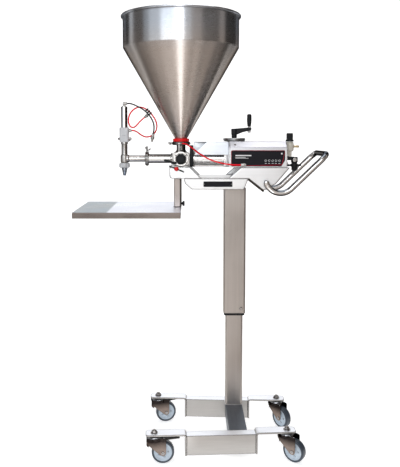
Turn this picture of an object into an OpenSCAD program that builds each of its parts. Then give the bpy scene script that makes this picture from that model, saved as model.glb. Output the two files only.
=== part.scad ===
// A wheeled filling machine for doughnuts: a hopper feeds a turning valve and a product cylinder,
// whose piston pushes the filling along a spout to an air-operated cut-off nozzle above a shelf.
// Lengths are in millimetres, +Z is up, +X points to the push handle and the floor is Z = 0.

/* [Hopper] */
// Outside diameter of the hopper's straight band
hopper_d = 492; // [420:1:540]
// Height of the straight band
band_h = 130; // [80:1:170]
// Angle between the cone's wall and the vertical
cone_angle = 30; // [27:1:33]
// Outside diameter of the hopper's outlet tube
outlet_d = 52; // [48:1:54]
// Thickness of the hopper's sheet
hopper_wall = 2; // [1.5:0.25:3]
// Diameter of the rolled bead round the rim
bead_d = 10; // [8:1:14]

/* [Product line] */
// Height of the spout's centre line above the floor
spout_z = 1189; // [1150:1:1260]
// Distance from the hopper's axis to the nozzle's axis
nozzle_reach = 243; // [220:1:280]
// Outside diameter of the spout tube next to the valve
spout_d = 38; // [34:1:40]
// Outside diameter of the smaller tube that carries the nozzle
branch_d = 27; // [24:1:29]
// Bore of the product cylinder
product_bore = 50; // [44:1:51]
// Stroke of the piston
stroke = 80; // [60:1:82]
// Bore of the nozzle's outlet
outlet_bore = 7; // [5:0.5:8]
// Travel of the cut-off stem
stem_travel = 12; // [8:1:16]

/* [Cabinet] */
// Length of the drive cabinet
cabinet_l = 242; // [242:1:262]
// Width of the drive cabinet
cabinet_w = 190; // [170:1:196]
// Height of the drive cabinet
cabinet_h = 107; // [105:1:116]
// Thickness of the cabinet's sheet
cabinet_wall = 2.5; // [1.5:0.25:2.5]
// Distance from the crank's axis to the grip's axis
crank_reach = 64; // [50:1:80]
// Length of the crank's grip
grip_l = 52; // [40:1:70]

/* [Cradle and handle] */
// Width of the cradle over its cheeks
cradle_w = 220; // [212:1:226]
// Thickness of the cradle's cheeks
cheek_t = 4; // [3:0.5:5]
// Distance from the hopper's axis to the handle's far side
handle_reach = 614; // [580:1:640]
// Diameter of the handle's tube
handle_d = 24; // [16:1:25]

/* [Shelf] */
// Length of the shelf
shelf_l = 434; // [360:1:460]
// Width of the shelf
shelf_w = 416; // [340:1:440]
// Height of the shelf's turned-down skirt
shelf_skirt = 24; // [18:1:32]
// Distance from the spout's centre line down to the shelf's top
shelf_drop = 208; // [200:1:230]
// Thickness of the shelf's sheet
shelf_wall = 2; // [1.5:0.25:3]

/* [Column] */
// Outside width of the outer column tube
column_w = 94; // [88:1:100]
// Outside depth of the outer column tube
column_d = 70; // [66:1:76]
// Length of the outer column tube
outer_len = 542; // [480:1:580]
// Wall of both column tubes
column_wall = 4; // [3:0.5:5]
// Gap between the two tubes, which the glides fill
glide_gap = 6; // [5:0.5:7]
// Height of the inner tube's top above the floor
inner_top = 800; // [770:1:805]

/* [Base] */
// Length of each side beam's tube
beam_l = 274; // [250:1:320]
// Height of each side beam
beam_h = 78; // [60:1:82]
// Depth of each side beam
beam_d = 40; // [36:1:50]
// Distance between the side beams' middles
beam_pitch = 326; // [300:1:360]
// Angle by which each side beam is splayed
beam_splay = 3; // [0:0.5:4]
// Reach of each caster arm past its beam
arm_len = 155; // [130:1:180]
// Thickness of the caster arms' bar
bar_t = 6; // [5:0.5:8]
// Width of the caster arms' bar
bar_w = 50; // [40:1:60]

/* [Casters] */
// Height of a caster, from the floor to the underside of its arm
caster_h = 114; // [110:1:126]
// Diameter of the wheels
wheel_d = 90; // [80:1:92]
// Width of the wheels
wheel_w = 32; // [24:1:36]
// Distance from a caster's swivel axis to its wheel's axis
trail = 34; // [30:1:38]

/* [Hidden] */

$fn = 64;
// How far a cutting shape runs past what it cuts
over = 1;
// Radial clearance of shafts and pins in their holes
running = 0.05;
// Gap between faces that turn or slide past each other
face_gap = 0.3;

// Turns of the casters about their own axes, and the side and row of each
swivel_turn = [0, -40, 15, -50];
swivel_side = [-1, 1, -1, 1];
swivel_row = [-1, -1, 1, 1];

// Reaches that place the machine's middle at the origin
rim_r = hopper_d / 2 - hopper_wall + bead_d;
arm_reach = beam_l / 2 + bar_t + arm_len;
base_offset = 119;
bolt_edge = 34;
swivel_half = arm_reach - bolt_edge;
fork_crown_r = 31;
front_reach = base_offset + beam_pitch / 2 + swivel_half * sin(beam_splay) + fork_crown_r;
head_x = (shelf_l - handle_reach) / 2;
head_y = (front_reach - rim_r) / 2;

// Heights of the head, worked down and up from the spout's centre line
clamp_rise = 65.5;
clamp_z = spout_z + clamp_rise;
ferrule_t = 4.5;
ferrule_r = 32;
clamp_half_h = 7.5;
collar_t = 13;
collar_r = 35;
cone_z = clamp_z + clamp_half_h + collar_t;
cone_h = (hopper_d - outlet_d) / 2 / tan(cone_angle);
band_z = cone_z + cone_h;
bead_z = band_z + band_h;
floor_drop = 79;
floor_t = 3;
cradle_z = spout_z - floor_drop;
deck_rise = 46;
deck_z = cradle_z + deck_rise;
pedestal_h = 46;
column_top = cradle_z - pedestal_h;

// Places along the product line, measured from the hopper's axis
valve_half_w = 37;
valve_half_l = 48;
valve_half_h = 28;
valve_bore_r = 20;
valve_corner_r = 12;
port_r = 15;
yoke_t = 16;
yoke_w = 76;
yoke_rise = 57;
yoke_drop = 34;
cylinder_x = valve_half_w + yoke_t;
cylinder_wall = 3;
flange_side = 68;
flange_t = 16;
cabinet_x = 199;
flange_x = cabinet_x - flange_t;
rod_r = 8;
piston_t = 20;
piston_gap = 5;
piston_x = cylinder_x + piston_gap;
collar_inset = 11;
collar_x = cabinet_x + collar_inset;
rod_collar_t = 12;
rod_collar_r = 20;
stop_t = 6;
stop_x = collar_x + rod_collar_t + stroke + face_gap;
barrel_r = 29;
barrel_bore_r = 26;
barrel_head_t = 10;
stop_room = 4;
barrel_x = stop_x + stop_t + stop_room;
end_room = 1.5;
air_piston_t = 14;
air_piston_x = barrel_x + barrel_head_t + end_room;
barrel_end = air_piston_x + air_piston_t + stroke + end_room + barrel_head_t;

// Cabinet section and the crank's gear
cabinet_chamfer_y = 35;
cabinet_chamfer_z = 23;
cabinet_top = deck_z + cabinet_h;
cabinet_end = cabinet_x + cabinet_l;
crank_x = 228;
crank_shaft_r = 6;
gear_module = 1.5;
gear_teeth = 16;
gear_r = gear_module * gear_teeth / 2;
gear_t = 12;
gear_rise = 39;
gear_z = spout_z + gear_rise;
dial_r = 48;
dial_t = 14;
dial_z = cabinet_top;

// Nozzle and its actuator
nut_r = 23.5;
tube_r = 13;
tube_bore_r = 10.5;
block_rise = 71;
block_h = 62;
block_w = 40;
block_d = 36;
block_z = spout_z + block_rise;
actuator_r = 14;
actuator_bore_r = 12;
actuator_h = 90;
actuator_z = block_z + block_h;
stem_r = 4;
neck_drop = 33;
neck_z = spout_z - neck_drop;
tip_h = 40;
tip_bottom = neck_z - tip_h;
tip_mouth_l = 10;
tip_flange_t = 4;

// Base heights and caster places
arm_step = 8;
beam_z = caster_h + bar_t - beam_h - arm_step;
beam_wall = 3;
cross_w = 72;
cross_h = 60;
cross_z = beam_z + beam_h - cross_h;
cross_x = 230;
base_x = 160;
fork_crown_t = 18;
fork_plate_t = 3;
wheel_side_gap = 2;
fork_half_w = wheel_w / 2 + wheel_side_gap;
bolt_r = 6;
axle_r = 5;
pedal_offset = 4;
pedal_drop = 16;
pedal_x = trail + pedal_offset;
pedal_z = caster_h - pedal_drop;

// Handle bend, seen from the front
bend_x = 411;
bend_drop = 76;
bend_r = 62;
bend_start = 197;
bend_stop = 314;
handle_half_w = 123;
grip_bend_r = 36;
handle_slope = bend_stop - 270;

// Routes of the air hoses, chosen by hand: two from the nozzle's axis, the low one from the
// hopper's, and all with Z from the spout's centre line
hose_d = 6;
hose_sides = 8;
connector_x = 247;
connector_y = -112;
connector_drop = 22;
connector_z = spout_z - connector_drop;
black_route = [
    [12, 0, 235], [25, 0, 235], [42, -3, 230], [59, -7, 222], [76, -9, 213],
    [93, -10, 200], [109, -11, 183], [121, -10, 163], [127, -8, 143],
    [127, -5, 124], [124, -3, 107]];
red_route = [
    [32, 0, 120], [39, 0, 120], [49, 1, 117], [60, 3, 110], [74, 5, 100], [91, 8, 93],
    [109, 10, 95], [125, 11, 105], [136, 10, 122], [139, 7, 142], [134, 5, 163],
    [122, 4, 183], [106, 4, 202], [87, 3, 215], [67, 3, 220], [47, 0, 214],
    [31, -4, 200], [21, -10, 180], [19, -15, 158], [26, -17, 139], [40, -15, 133],
    [53, -9, 142], [65, -4, 156], [77, 0, 168], [87, 3, 176]];
low_route = [
    [4, -44, 65], [11, -44, 65], [21, -47, 63], [32, -54, 57], [44, -65, 49],
    [57, -78, 39], [71, -89, 28], [88, -99, 17], [110, -107, 5], [134, -111, -5],
    [162, -113, -13], [192, -113, -19], [220, connector_y, -connector_drop],
    [connector_x, connector_y, -connector_drop]];

// Small sizes that several pieces share
screw_r = 4;
screw_head_r = 7;
screw_head_t = 5;
panel_t = 2.5;
panel_l = 224;
panel_h = 67;
panel_inset = 9;
panel_rise = 4;
panel_x = cabinet_x + panel_inset;
panel_z = deck_z + panel_rise;
connector_r = 5.5;
guard_half_w = 52;
guard_t = 2;
guard_rise = 72;
guard_lift = 17;
guard_inset = 3;
guard_top = spout_z + guard_rise;
guard_bottom = spout_z + guard_lift;
guard_x = cylinder_x + guard_inset;
post_w = 33;
post_wall = 3;
post_x = -14;
shelf_z = spout_z - shelf_drop;
shelf_right = 0;
air_reach = 25;
air_r = 17.5;
air_rise = 37;
valve_reach = 46;
shutoff_drop = 28.5;
air_x = cabinet_end + air_reach;
air_z = spout_z + air_rise;
valve_axis_x = cabinet_end + valve_reach;
shutoff_z = spout_z - shutoff_drop;
tee_x = -18;
tee_drop = 38;
tee_z = spout_z - tee_drop;
tee_tilt = 22;
lever_x = -24;
lever_drop = 17;
lever_z = spout_z - lever_drop;
spout_joint_x = -146;

// Puts a piece that is drawn from the hopper's axis in its place on the machine
module on_head() {
    translate([head_x, head_y, 0]) children();
}

// Puts a piece that is drawn from the base's middle in its place under the machine
module on_base() {
    translate([head_x + base_x, head_y - base_offset, 0]) children();
}

// Puts a caster's piece under its arm, with +X along the trailing direction
module on_caster(index) {
    on_base()
        translate([0, swivel_row[index] * beam_pitch / 2, 0])
            rotate([0, 0, -swivel_row[index] * beam_splay])
                translate([swivel_side[index] * swivel_half, 0, 0])
                    rotate([0, 0, swivel_turn[index]]) children();
}

// A flat rectangle with round corners, about the origin
module round_rect(w, h, r) {
    square([w - 2 * r, h], center = true);
    square([w, h - 2 * r], center = true);
    for (x = [-1, 1], y = [-1, 1])
        translate([x * (w / 2 - r), y * (h / 2 - r)]) circle(r = r);
}

// A cylinder that lies along X, from x0 to x1
module rod_x(x0, x1, r) {
    translate([x0, 0, 0]) rotate([0, 90, 0]) cylinder(r = r, h = x1 - x0);
}

// A cylinder that lies along Y, from y0 to y1
module rod_y(y0, y1, r) {
    translate([0, y0, 0]) rotate([-90, 0, 0]) cylinder(r = r, h = y1 - y0);
}

// A plate cut from an outline in X and Z, from y0 to y1
module plate_y(y0, y1) {
    translate([0, y1, 0]) rotate([90, 0, 0]) linear_extrude(y1 - y0) children();
}

// A ring about Z, from z0 to z1
module ring_z(z0, z1, inner_r, outer_r) {
    difference() {
        translate([0, 0, z0]) cylinder(r = outer_r, h = z1 - z0);
        translate([0, 0, z0 - over]) cylinder(r = inner_r, h = z1 - z0 + 2 * over);
    }
}

// A channelled clamp ring about Z that grips two ferrules
module clamp_ring(half_h, groove_r, lip_r, outer_r, groove_half) {
    rotate_extrude() polygon([
        [lip_r, -half_h], [outer_r, -half_h], [outer_r, half_h], [lip_r, half_h],
        [lip_r, groove_half], [groove_r, groove_half],
        [groove_r, -groove_half], [lip_r, -groove_half]]);
}

// Tube along a smooth route, swept as one closed polyhedron
function unit(v) = v / norm(v);
function route_heading(route, i) = unit(
    i == 0 ? route[1] - route[0]
    : i == len(route) - 1 ? route[i] - route[i - 1]
    : unit(route[i + 1] - route[i]) + unit(route[i] - route[i - 1]));
function route_side(route, i) = unit(cross(route_heading(route, i), [0.12, 1, 0.07]));
function route_ring(route, i, r, sides) = [
    for (k = [0 : sides - 1])
        let (side = route_side(route, i), rise = cross(route_heading(route, i), side))
            route[i] + r * (cos(360 * k / sides) * side + sin(360 * k / sides) * rise)];
function smooth_point(route, i, t) =
    let (last = len(route) - 1, before = route[max(i - 1, 0)], here = route[i],
        next = route[min(i + 1, last)], after = route[min(i + 2, last)])
        0.5 * ((2 * here) + (next - before) * t
            + (2 * before - 5 * here + 4 * next - after) * t * t
            + (3 * here - before - 3 * next + after) * t * t * t);
module hose_tube(route, d, sides) {
    count = len(route);
    points = [for (i = [0 : count - 1]) each route_ring(route, i, d / 2, sides)];
    walls = [
        for (i = [0 : count - 2], k = [0 : sides - 1])
            let (a = i * sides + k, b = i * sides + (k + 1) % sides)
                each [[a, b, b + sides], [a, b + sides, a + sides]]];
    start_cap = [for (k = [1 : sides - 2]) [0, k + 1, k]];
    first = (count - 1) * sides;
    end_cap = [for (k = [1 : sides - 2]) [first, first + k, first + k + 1]];
    polyhedron(points = points, faces = concat(walls, start_cap, end_cap), convexity = 6);
}

// Least distance between parts of a route that are more than a loop's quarter apart
function route_gap(route, apart) = min([
    for (i = [0 : len(route) - 2], j = [i + apart : 1 : len(route) - 2], t = [0 : 0.25 : 1])
        min([for (u = [0 : 0.25 : 1])
            norm(smooth_point(route, i, t) - smooth_point(route, j, u))])]);
echo(red_hose_gap_to_itself = route_gap(red_route, 5) - hose_d);

// Base: two side beams, each with a bent bar at both ends that reaches over a caster
bar_bend_r = 12;
bar_end_r = 14;
vent_r = 4;
module arm_plan() {
    difference() {
        union() {
            translate([beam_l / 2 + bar_bend_r, -bar_w / 2])
                square([bar_t + arm_len - bar_bend_r - bar_end_r, bar_w]);
            translate([beam_l / 2 + bar_bend_r, -bar_w / 2 + bar_end_r])
                square([bar_t + arm_len - bar_bend_r, bar_w - 2 * bar_end_r]);
            for (y = [-1, 1])
                translate([arm_reach - bar_end_r, y * (bar_w / 2 - bar_end_r)])
                    circle(r = bar_end_r);
        }
        translate([swivel_half, 0]) circle(r = bolt_r + running);
    }
}
module arm_bend() {
    translate([beam_l / 2 + bar_bend_r, -bar_w / 2, caster_h + bar_t - bar_bend_r])
        rotate([-90, 180, 0]) rotate_extrude(angle = 90)
            translate([bar_bend_r - bar_t, 0]) square([bar_t, bar_w]);
}
module side_beam() {
    leg_top = caster_h + bar_t - bar_bend_r;
    difference() {
        translate([-beam_l / 2, -beam_d / 2, beam_z]) cube([beam_l, beam_d, beam_h]);
        translate([-beam_l / 2 + beam_wall, -beam_d / 2 + beam_wall, beam_z + beam_wall])
            cube([beam_l - 2 * beam_wall, beam_d - 2 * beam_wall, beam_h - 2 * beam_wall]);
        translate([0, 0, beam_z - over]) cylinder(r = vent_r, h = beam_wall + 2 * over);
    }
    for (turn = [0, 180]) rotate([0, 0, turn]) {
        translate([beam_l / 2, -bar_w / 2, beam_z]) cube([bar_t, bar_w, leg_top - beam_z]);
        arm_bend();
        translate([0, 0, caster_h]) linear_extrude(bar_t) arm_plan();
    }
}
module base_beams() {
    color("lightgray") on_base()
        for (row = [-1, 1])
            translate([0, row * beam_pitch / 2, 0]) rotate([0, 0, -row * beam_splay]) side_beam();
}

// Cross beam between the side beams, cut to their splay
module cross_beam() {
    reach = beam_pitch / 2;
    inside = cross_w - 2 * beam_wall;
    color("slategray") on_base() difference() {
        translate([cross_x - base_x - cross_w / 2, -reach, cross_z])
            cube([cross_w, 2 * reach, cross_h]);
        translate([cross_x - base_x - inside / 2, -reach - over, cross_z + beam_wall])
            cube([inside, 2 * reach + 2 * over, cross_h - 2 * beam_wall]);
        for (row = [-1, 1])
            translate([0, row * reach, 0]) rotate([0, 0, -row * beam_splay])
                translate([-beam_l / 2, -beam_d / 2, beam_z - over])
                    cube([beam_l, beam_d, beam_h + 2 * over]);
    }
}

// Caster bolts: a nut above each arm, a washer below it and a shouldered end that holds the fork
washer_r = 16;
washer_t = 3;
nut_flat_r = 10.5;
nut_h = 9;
bolt_end = 4;
retainer_r = 9;
retainer_t = 4;
crown_top = caster_h - washer_t - face_gap;
crown_bottom = crown_top - fork_crown_t;
module caster_bolt() {
    bolt_bottom = crown_bottom - face_gap - retainer_t;
    bolt_top = caster_h + bar_t + nut_h + bolt_end;
    translate([0, 0, bolt_bottom]) cylinder(r = bolt_r, h = bolt_top - bolt_bottom);
    translate([0, 0, bolt_bottom]) cylinder(r = retainer_r, h = retainer_t);
    translate([0, 0, caster_h - washer_t]) cylinder(r = washer_r, h = washer_t);
    translate([0, 0, caster_h + bar_t]) cylinder(r = nut_flat_r, h = nut_h, $fn = 6);
}
module caster_bolts() {
    color("dimgray") for (i = [0 : 3]) on_caster(i) caster_bolt();
}

// Inner column tube, welded to the cross beam by a foot plate
inner_w = column_w - 2 * column_wall - 2 * glide_gap;
inner_d = column_d - 2 * column_wall - 2 * glide_gap;
tube_corner_r = 8;
foot_t = 6;
module inner_column() {
    z0 = cross_z + cross_h;
    color("rosybrown") on_head() translate([cross_x, 0, 0]) {
        translate([0, 0, z0]) linear_extrude(foot_t) round_rect(inner_w, inner_d, tube_corner_r);
        translate([0, 0, z0 + foot_t]) linear_extrude(inner_top - z0 - foot_t) difference() {
            round_rect(inner_w, inner_d, tube_corner_r);
            round_rect(inner_w - 2 * column_wall, inner_d - 2 * column_wall,
                tube_corner_r - column_wall);
        }
    }
}

// Casters: a pressed fork that turns under its arm and a wheel on an axle; the two on the
// hopper side have a brake pedal
boss_r = 12;
crown_lap = 5;
pedal_cheek = 3;
boss_back_share = 0.86;
boss_low_share = 0.5;
boss_front_share = 0.92;
boss_lip_share = 0.4;
axle_head_r = 7.5;
axle_head_t = 3;
pedal_pin_r = 3;
pedal_hub_r = 5;
module fork_leg_outline() {
    difference() {
        union() {
            polygon([
                [-fork_crown_r, crown_top - crown_lap],
                [-fork_crown_r, crown_bottom],
                [trail - boss_r * boss_back_share, wheel_d / 2 - boss_r * boss_low_share],
                [trail + boss_r * boss_front_share, wheel_d / 2 - boss_r * boss_lip_share],
                [pedal_x + pedal_hub_r + pedal_cheek, pedal_z - pedal_hub_r],
                [pedal_x + pedal_hub_r + pedal_cheek, pedal_z + pedal_hub_r],
                [pedal_x - pedal_hub_r, crown_top - crown_lap]]);
            translate([trail, wheel_d / 2]) circle(r = boss_r);
        }
        translate([trail, wheel_d / 2]) circle(r = axle_r + running);
        translate([pedal_x, pedal_z]) circle(r = pedal_pin_r + running);
    }
}
module caster_fork(i) {
    outside = fork_half_w + fork_plate_t;
    color("silver") on_caster(i) {
        difference() {
            union() {
                translate([0, 0, crown_bottom]) cylinder(r = fork_crown_r, h = fork_crown_t);
                plate_y(-outside, -fork_half_w) fork_leg_outline();
                plate_y(fork_half_w, outside) fork_leg_outline();
            }
            translate([0, 0, crown_bottom - over])
                cylinder(r = bolt_r + running, h = fork_crown_t + 2 * over);
        }
        translate([trail, 0, wheel_d / 2]) {
            rod_y(-outside - axle_head_t, outside + axle_head_t, axle_r);
            rod_y(-outside - axle_head_t, -outside, axle_head_r);
            rod_y(outside, outside + axle_head_t, axle_head_r);
        }
    }
}
wheel_groove_share = 0.72;
wheel_crown_share = 0.3;
wheel_groove = 2;
wheel_hub_r = 14;
module caster_wheel(i) {
    r = wheel_d / 2;
    half = wheel_w / 2;
    crown = half * wheel_crown_share;
    color("gainsboro") on_caster(i) translate([trail, 0, r]) rotate([90, 0, 0])
        rotate_extrude() difference() {
            union() {
                translate([axle_r + running, -half])
                    square([r - crown - axle_r - running, wheel_w]);
                translate([r - crown - over, -half + crown])
                    square([crown + over, wheel_w - 2 * crown]);
                for (s = [-1, 1]) translate([r - crown, s * (half - crown)]) circle(r = crown);
            }
            for (s = [-1, 1])
                translate([wheel_hub_r, s * (half - wheel_groove) - wheel_groove])
                    square([r * wheel_groove_share - wheel_hub_r, 2 * wheel_groove]);
        }
}
pedal_l = 62;
pedal_w = 40;
pedal_t = 5;
pedal_rise = 5;
pedal_shoe_l = 14;
pedal_shoe_tip = 18;
pedal_shoe_gap = 2;
pedal_shoe_share = 0.6;
module brake_pedal(i) {
    hub_half = fork_half_w - face_gap;
    pin_half = fork_half_w + fork_plate_t;
    shoe_w = 2 * hub_half - 2 * pedal_shoe_gap;
    shoe_low = -pedal_hub_r * pedal_shoe_share;
    color("dimgray") on_caster(i) translate([pedal_x, 0, pedal_z]) {
        rod_y(-hub_half, hub_half, pedal_hub_r);
        rod_y(-pin_half, pin_half, pedal_pin_r);
        plate_y(-shoe_w / 2, shoe_w / 2) polygon([
            [0, shoe_low], [pedal_shoe_l, shoe_low], [pedal_shoe_tip, 0],
            [pedal_shoe_tip, pedal_t], [0, pedal_hub_r]]);
        plate_y(-pedal_w / 2, pedal_w / 2) polygon([
            [pedal_shoe_l, 0], [pedal_l, pedal_rise], [pedal_l, pedal_rise + pedal_t],
            [pedal_shoe_l, pedal_t]]);
    }
}

// Outer column tube, closed at the top by the pedestal
outer_z = column_top - outer_len;
lock_screw_x = 28;
lock_screw_z = 20;
module outer_column() {
    color("rosybrown") on_head() translate([cross_x, 0, 0]) difference() {
        translate([0, 0, outer_z]) linear_extrude(outer_len) difference() {
            round_rect(column_w, column_d, tube_corner_r);
            round_rect(column_w - 2 * column_wall, column_d - 2 * column_wall,
                tube_corner_r - column_wall);
        }
        translate([lock_screw_x, 0, outer_z + lock_screw_z])
            rod_y(-column_d / 2 - over, -column_d / 2 + column_wall + over, screw_r + running);
    }
}

// Plastic glides between the tubes: one at the outer tube's mouth with a lip, one higher up
glide_h = 60;
lip_h = 10;
lip_inset = 3;
glide_gap_z = 120;
module glide(z0, h, grow) {
    translate([0, 0, z0]) linear_extrude(h) difference() {
        round_rect(inner_w + 2 * grow, inner_d + 2 * grow, tube_corner_r);
        round_rect(inner_w + 2 * running, inner_d + 2 * running, tube_corner_r);
    }
}
module column_glides() {
    color("dimgray") on_head() translate([cross_x, 0, 0]) {
        glide(outer_z, glide_h, glide_gap);
        glide(outer_z - lip_h, lip_h, glide_gap + column_wall - lip_inset);
        glide(outer_z + glide_gap_z, glide_h / 2, glide_gap);
    }
}

// Pedestal: a welded trough on the column's top that carries the cradle
pedestal_t = 4;
pedestal_w = 200;
pedestal_left = 13;
pedestal_right = 278;
pedestal_foot_left = 46;
pedestal_foot_right = 262;
pedestal_skirt = 8;
pedestal_knee = 22;
pedestal_knee_in = 5;
module pedestal_outline(inset, lift) {
    polygon([
        [pedestal_left + inset, cradle_z + over * (lift > 0 ? 1 : 0)],
        [pedestal_left + inset, cradle_z - pedestal_skirt],
        [pedestal_left + inset + pedestal_knee_in, cradle_z - pedestal_knee],
        [pedestal_foot_left + inset, column_top + lift],
        [pedestal_foot_right - inset, column_top + lift],
        [pedestal_right - inset, cradle_z - pedestal_skirt],
        [pedestal_right - inset, cradle_z + over * (lift > 0 ? 1 : 0)]]);
}
module pedestal() {
    half = pedestal_w / 2;
    color("whitesmoke") on_head() difference() {
        plate_y(-half, half) pedestal_outline(0, 0);
        plate_y(-half + pedestal_t, half - pedestal_t) pedestal_outline(pedestal_t, pedestal_t);
    }
}

// Cradle: a folded floor with two cheeks, a deck for the cabinet and a sloping tail
cradle_left = -47;
notch_x0 = 38;
notch_x1 = 83;
notch_x2 = 199;
notch_x3 = 248;
tail_x = 282;
tail_tip_x = 344;
tail_tip_drop = 49;
gusset_x = 393;
gusset_drop = 22;
deck_end = 451;
deck_inset = 6;
cheek_corner = 10;
cheek_corner_share = 0.3;
cheek_lip = 2;
bolt_step = 16;
module left_cheek() {
    cut = cheek_corner * cheek_corner_share;
    polygon([
        [cradle_left + cut, cradle_z + cut],
        [cradle_left, cradle_z + cheek_corner],
        [cradle_left, deck_z + cheek_lip], [notch_x0, deck_z + cheek_lip],
        [notch_x1, cradle_z + floor_t], [notch_x1, cradle_z],
        [cradle_left + cheek_corner, cradle_z]]);
}
module right_cheek() {
    difference() {
        polygon([
            [notch_x2, cradle_z], [notch_x2, cradle_z + floor_t],
            [notch_x3, deck_z], [deck_end, deck_z],
            [gusset_x, cradle_z - gusset_drop], [tail_tip_x, cradle_z - tail_tip_drop],
            [tail_x, cradle_z]]);
        for (at = bolt_angles) translate(bend_point(at)) circle(r = screw_r + running);
    }
}
function bend_point(at) = [bend_x + bend_r * cos(at), spout_z - bend_drop + bend_r * sin(at)];
bolt_angles = [bend_start, bend_start + bolt_step];
module cradle() {
    half = cradle_w / 2;
    inside = half - cheek_t;
    color("whitesmoke") on_head() difference() {
        union() {
            translate([cradle_left + cheek_corner, -half, cradle_z])
                cube([tail_x - cradle_left - cheek_corner, cradle_w, floor_t]);
            for (y = [-half, inside]) plate_y(y, y + cheek_t) {
                left_cheek();
                right_cheek();
            }
            plate_y(-inside - over, inside + over) polygon([
                [tail_x - floor_t, cradle_z], [tail_x, cradle_z + floor_t],
                [tail_x + floor_t, cradle_z], [tail_tip_x, cradle_z - tail_tip_drop + floor_t],
                [tail_tip_x, cradle_z - tail_tip_drop]]);
            translate([notch_x3, -inside - over, deck_z - floor_t])
                cube([deck_end - deck_inset - notch_x3, 2 * inside + 2 * over, floor_t]);
        }
        translate([tee_x, 0, tee_z]) rod_y(-half - over, -inside + over, screw_r + running);
    }
}

// Push handle: one tube from both cheeks down, round and up to a bar across the top
handle_r = handle_d / 2;
lug_r = 8;
module handle_frame(side) {
    start = bend_point(bend_stop);
    translate([start[0], side * handle_half_w, start[1]]) rotate([0, -handle_slope, 0]) children();
}
module handle_side(side) {
    run = (handle_reach - handle_r - bend_point(bend_stop)[0]) / cos(handle_slope) - grip_bend_r;
    handle_frame(side) {
        translate([0, 0, bend_r]) rotate([90, 0, 0]) mirror([1, 0, 0]) rotate([0, 0, -90])
            rotate_extrude(angle = bend_stop - bend_start, $fn = 48)
                translate([bend_r, 0]) circle(r = handle_r, $fn = 32);
        rod_x(0, run, handle_r);
        translate([run, -side * grip_bend_r, 0]) rotate([0, 0, side > 0 ? 0 : -90])
            rotate_extrude(angle = 90, $fn = 48)
                translate([grip_bend_r, 0]) circle(r = handle_r, $fn = 32);
        if (side > 0) translate([run + grip_bend_r, 0, 0])
            rod_y(grip_bend_r - 2 * handle_half_w, -grip_bend_r, handle_r);
    }
}
module handle_lug(side, at) {
    translate([bend_point(at)[0], 0, bend_point(at)[1]])
        rod_y(side > 0 ? cradle_w / 2 : -handle_half_w, side > 0 ? handle_half_w : -cradle_w / 2,
            lug_r);
}
module push_handle() {
    color("silver") on_head() difference() {
        for (side = [-1, 1]) {
            handle_side(side);
            for (at = bolt_angles) handle_lug(side, at);
        }
        for (side = [0, 180], at = bolt_angles)
            translate([bend_point(at)[0], 0, bend_point(at)[1]]) rotate([0, 0, side])
                rod_y(cradle_w / 2 - over, cradle_w / 2 + lug_r, screw_r + running);
    }
}

// Screws: the handle's, the column's lock screw and the cabinet's end screws
cabinet_screw_y = 78;
cabinet_screw_z = [16, 72];
module frame_screws() {
    inside = cradle_w / 2 - cheek_t;
    color("dimgray") on_head() {
        for (side = [0, 180], at = bolt_angles)
            translate([bend_point(at)[0], 0, bend_point(at)[1]]) rotate([0, 0, side]) {
                rod_y(inside, cradle_w / 2 + screw_head_r, screw_r);
                rod_y(inside - screw_head_t, inside, screw_head_r);
            }
        translate([cross_x + lock_screw_x, 0, outer_z + lock_screw_z]) {
            rod_y(-column_d / 2 - screw_head_t, -column_d / 2, screw_head_r);
            rod_y(-column_d / 2, -column_d / 2 + column_wall, screw_r);
        }
        for (y = [-1, 1], z = cabinet_screw_z)
            translate([0, y * cabinet_screw_y, deck_z + z])
                rod_x(cabinet_end, cabinet_end + screw_head_t, screw_head_r);
    }
}

// Cabinet: a folded case with bevelled top edges, whose wall keeps its thickness by the shares
flat_inset_share = 0.6;
edge_inset_share = 0.3;
module cabinet_section(inset) {
    half = cabinet_w / 2 - inset;
    flat = cabinet_w / 2 - cabinet_chamfer_y - inset * flat_inset_share;
    edge = cabinet_top - cabinet_chamfer_z - inset * edge_inset_share;
    polygon([
        [-half, deck_z + inset], [half, deck_z + inset],
        [half, edge], [flat, cabinet_top - inset], [-flat, cabinet_top - inset],
        [-half, edge]]);
}
module along_x(x0, x1) {
    translate([x0, 0, 0]) rotate([90, 0, 90]) linear_extrude(x1 - x0) children();
}
rack_gap = 3;
rack_depth = 10;
module cabinet_shell() {
    color("whitesmoke") on_head() difference() {
        along_x(cabinet_x, cabinet_end) cabinet_section(0);
        along_x(cabinet_x + cabinet_wall, cabinet_end - cabinet_wall)
            cabinet_section(cabinet_wall);
        translate([0, 0, spout_z])
            rod_x(cabinet_x - over, cabinet_x + cabinet_wall + over, rod_r + face_gap);
        translate([cabinet_x - over, gear_r - gear_module - rack_gap, gear_z - rack_gap])
            cube([cabinet_wall + 2 * over, rack_depth + 2 * gear_module + 2 * rack_gap,
                gear_t + 2 * rack_gap]);
        translate([crank_x, 0, cabinet_top - cabinet_wall - over])
            cylinder(r = crank_shaft_r + running, h = cabinet_wall + 2 * over);
    }
}

// Control panel on the cabinet's front, with one cut corner
panel_corner_r = 6;
panel_cut_x = 16;
panel_cut_z = 27;
module control_panel() {
    front = -cabinet_w / 2;
    color("black") on_head() plate_y(front - panel_t, front) difference() {
        translate([panel_x + panel_l / 2, panel_z + panel_h / 2])
            round_rect(panel_l, panel_h, panel_corner_r);
        polygon([
            [panel_x + panel_l - panel_cut_x, panel_z - over],
            [panel_x + panel_l + over, panel_z - over],
            [panel_x + panel_l + over, panel_z + panel_cut_z]]);
    }
}

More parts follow.
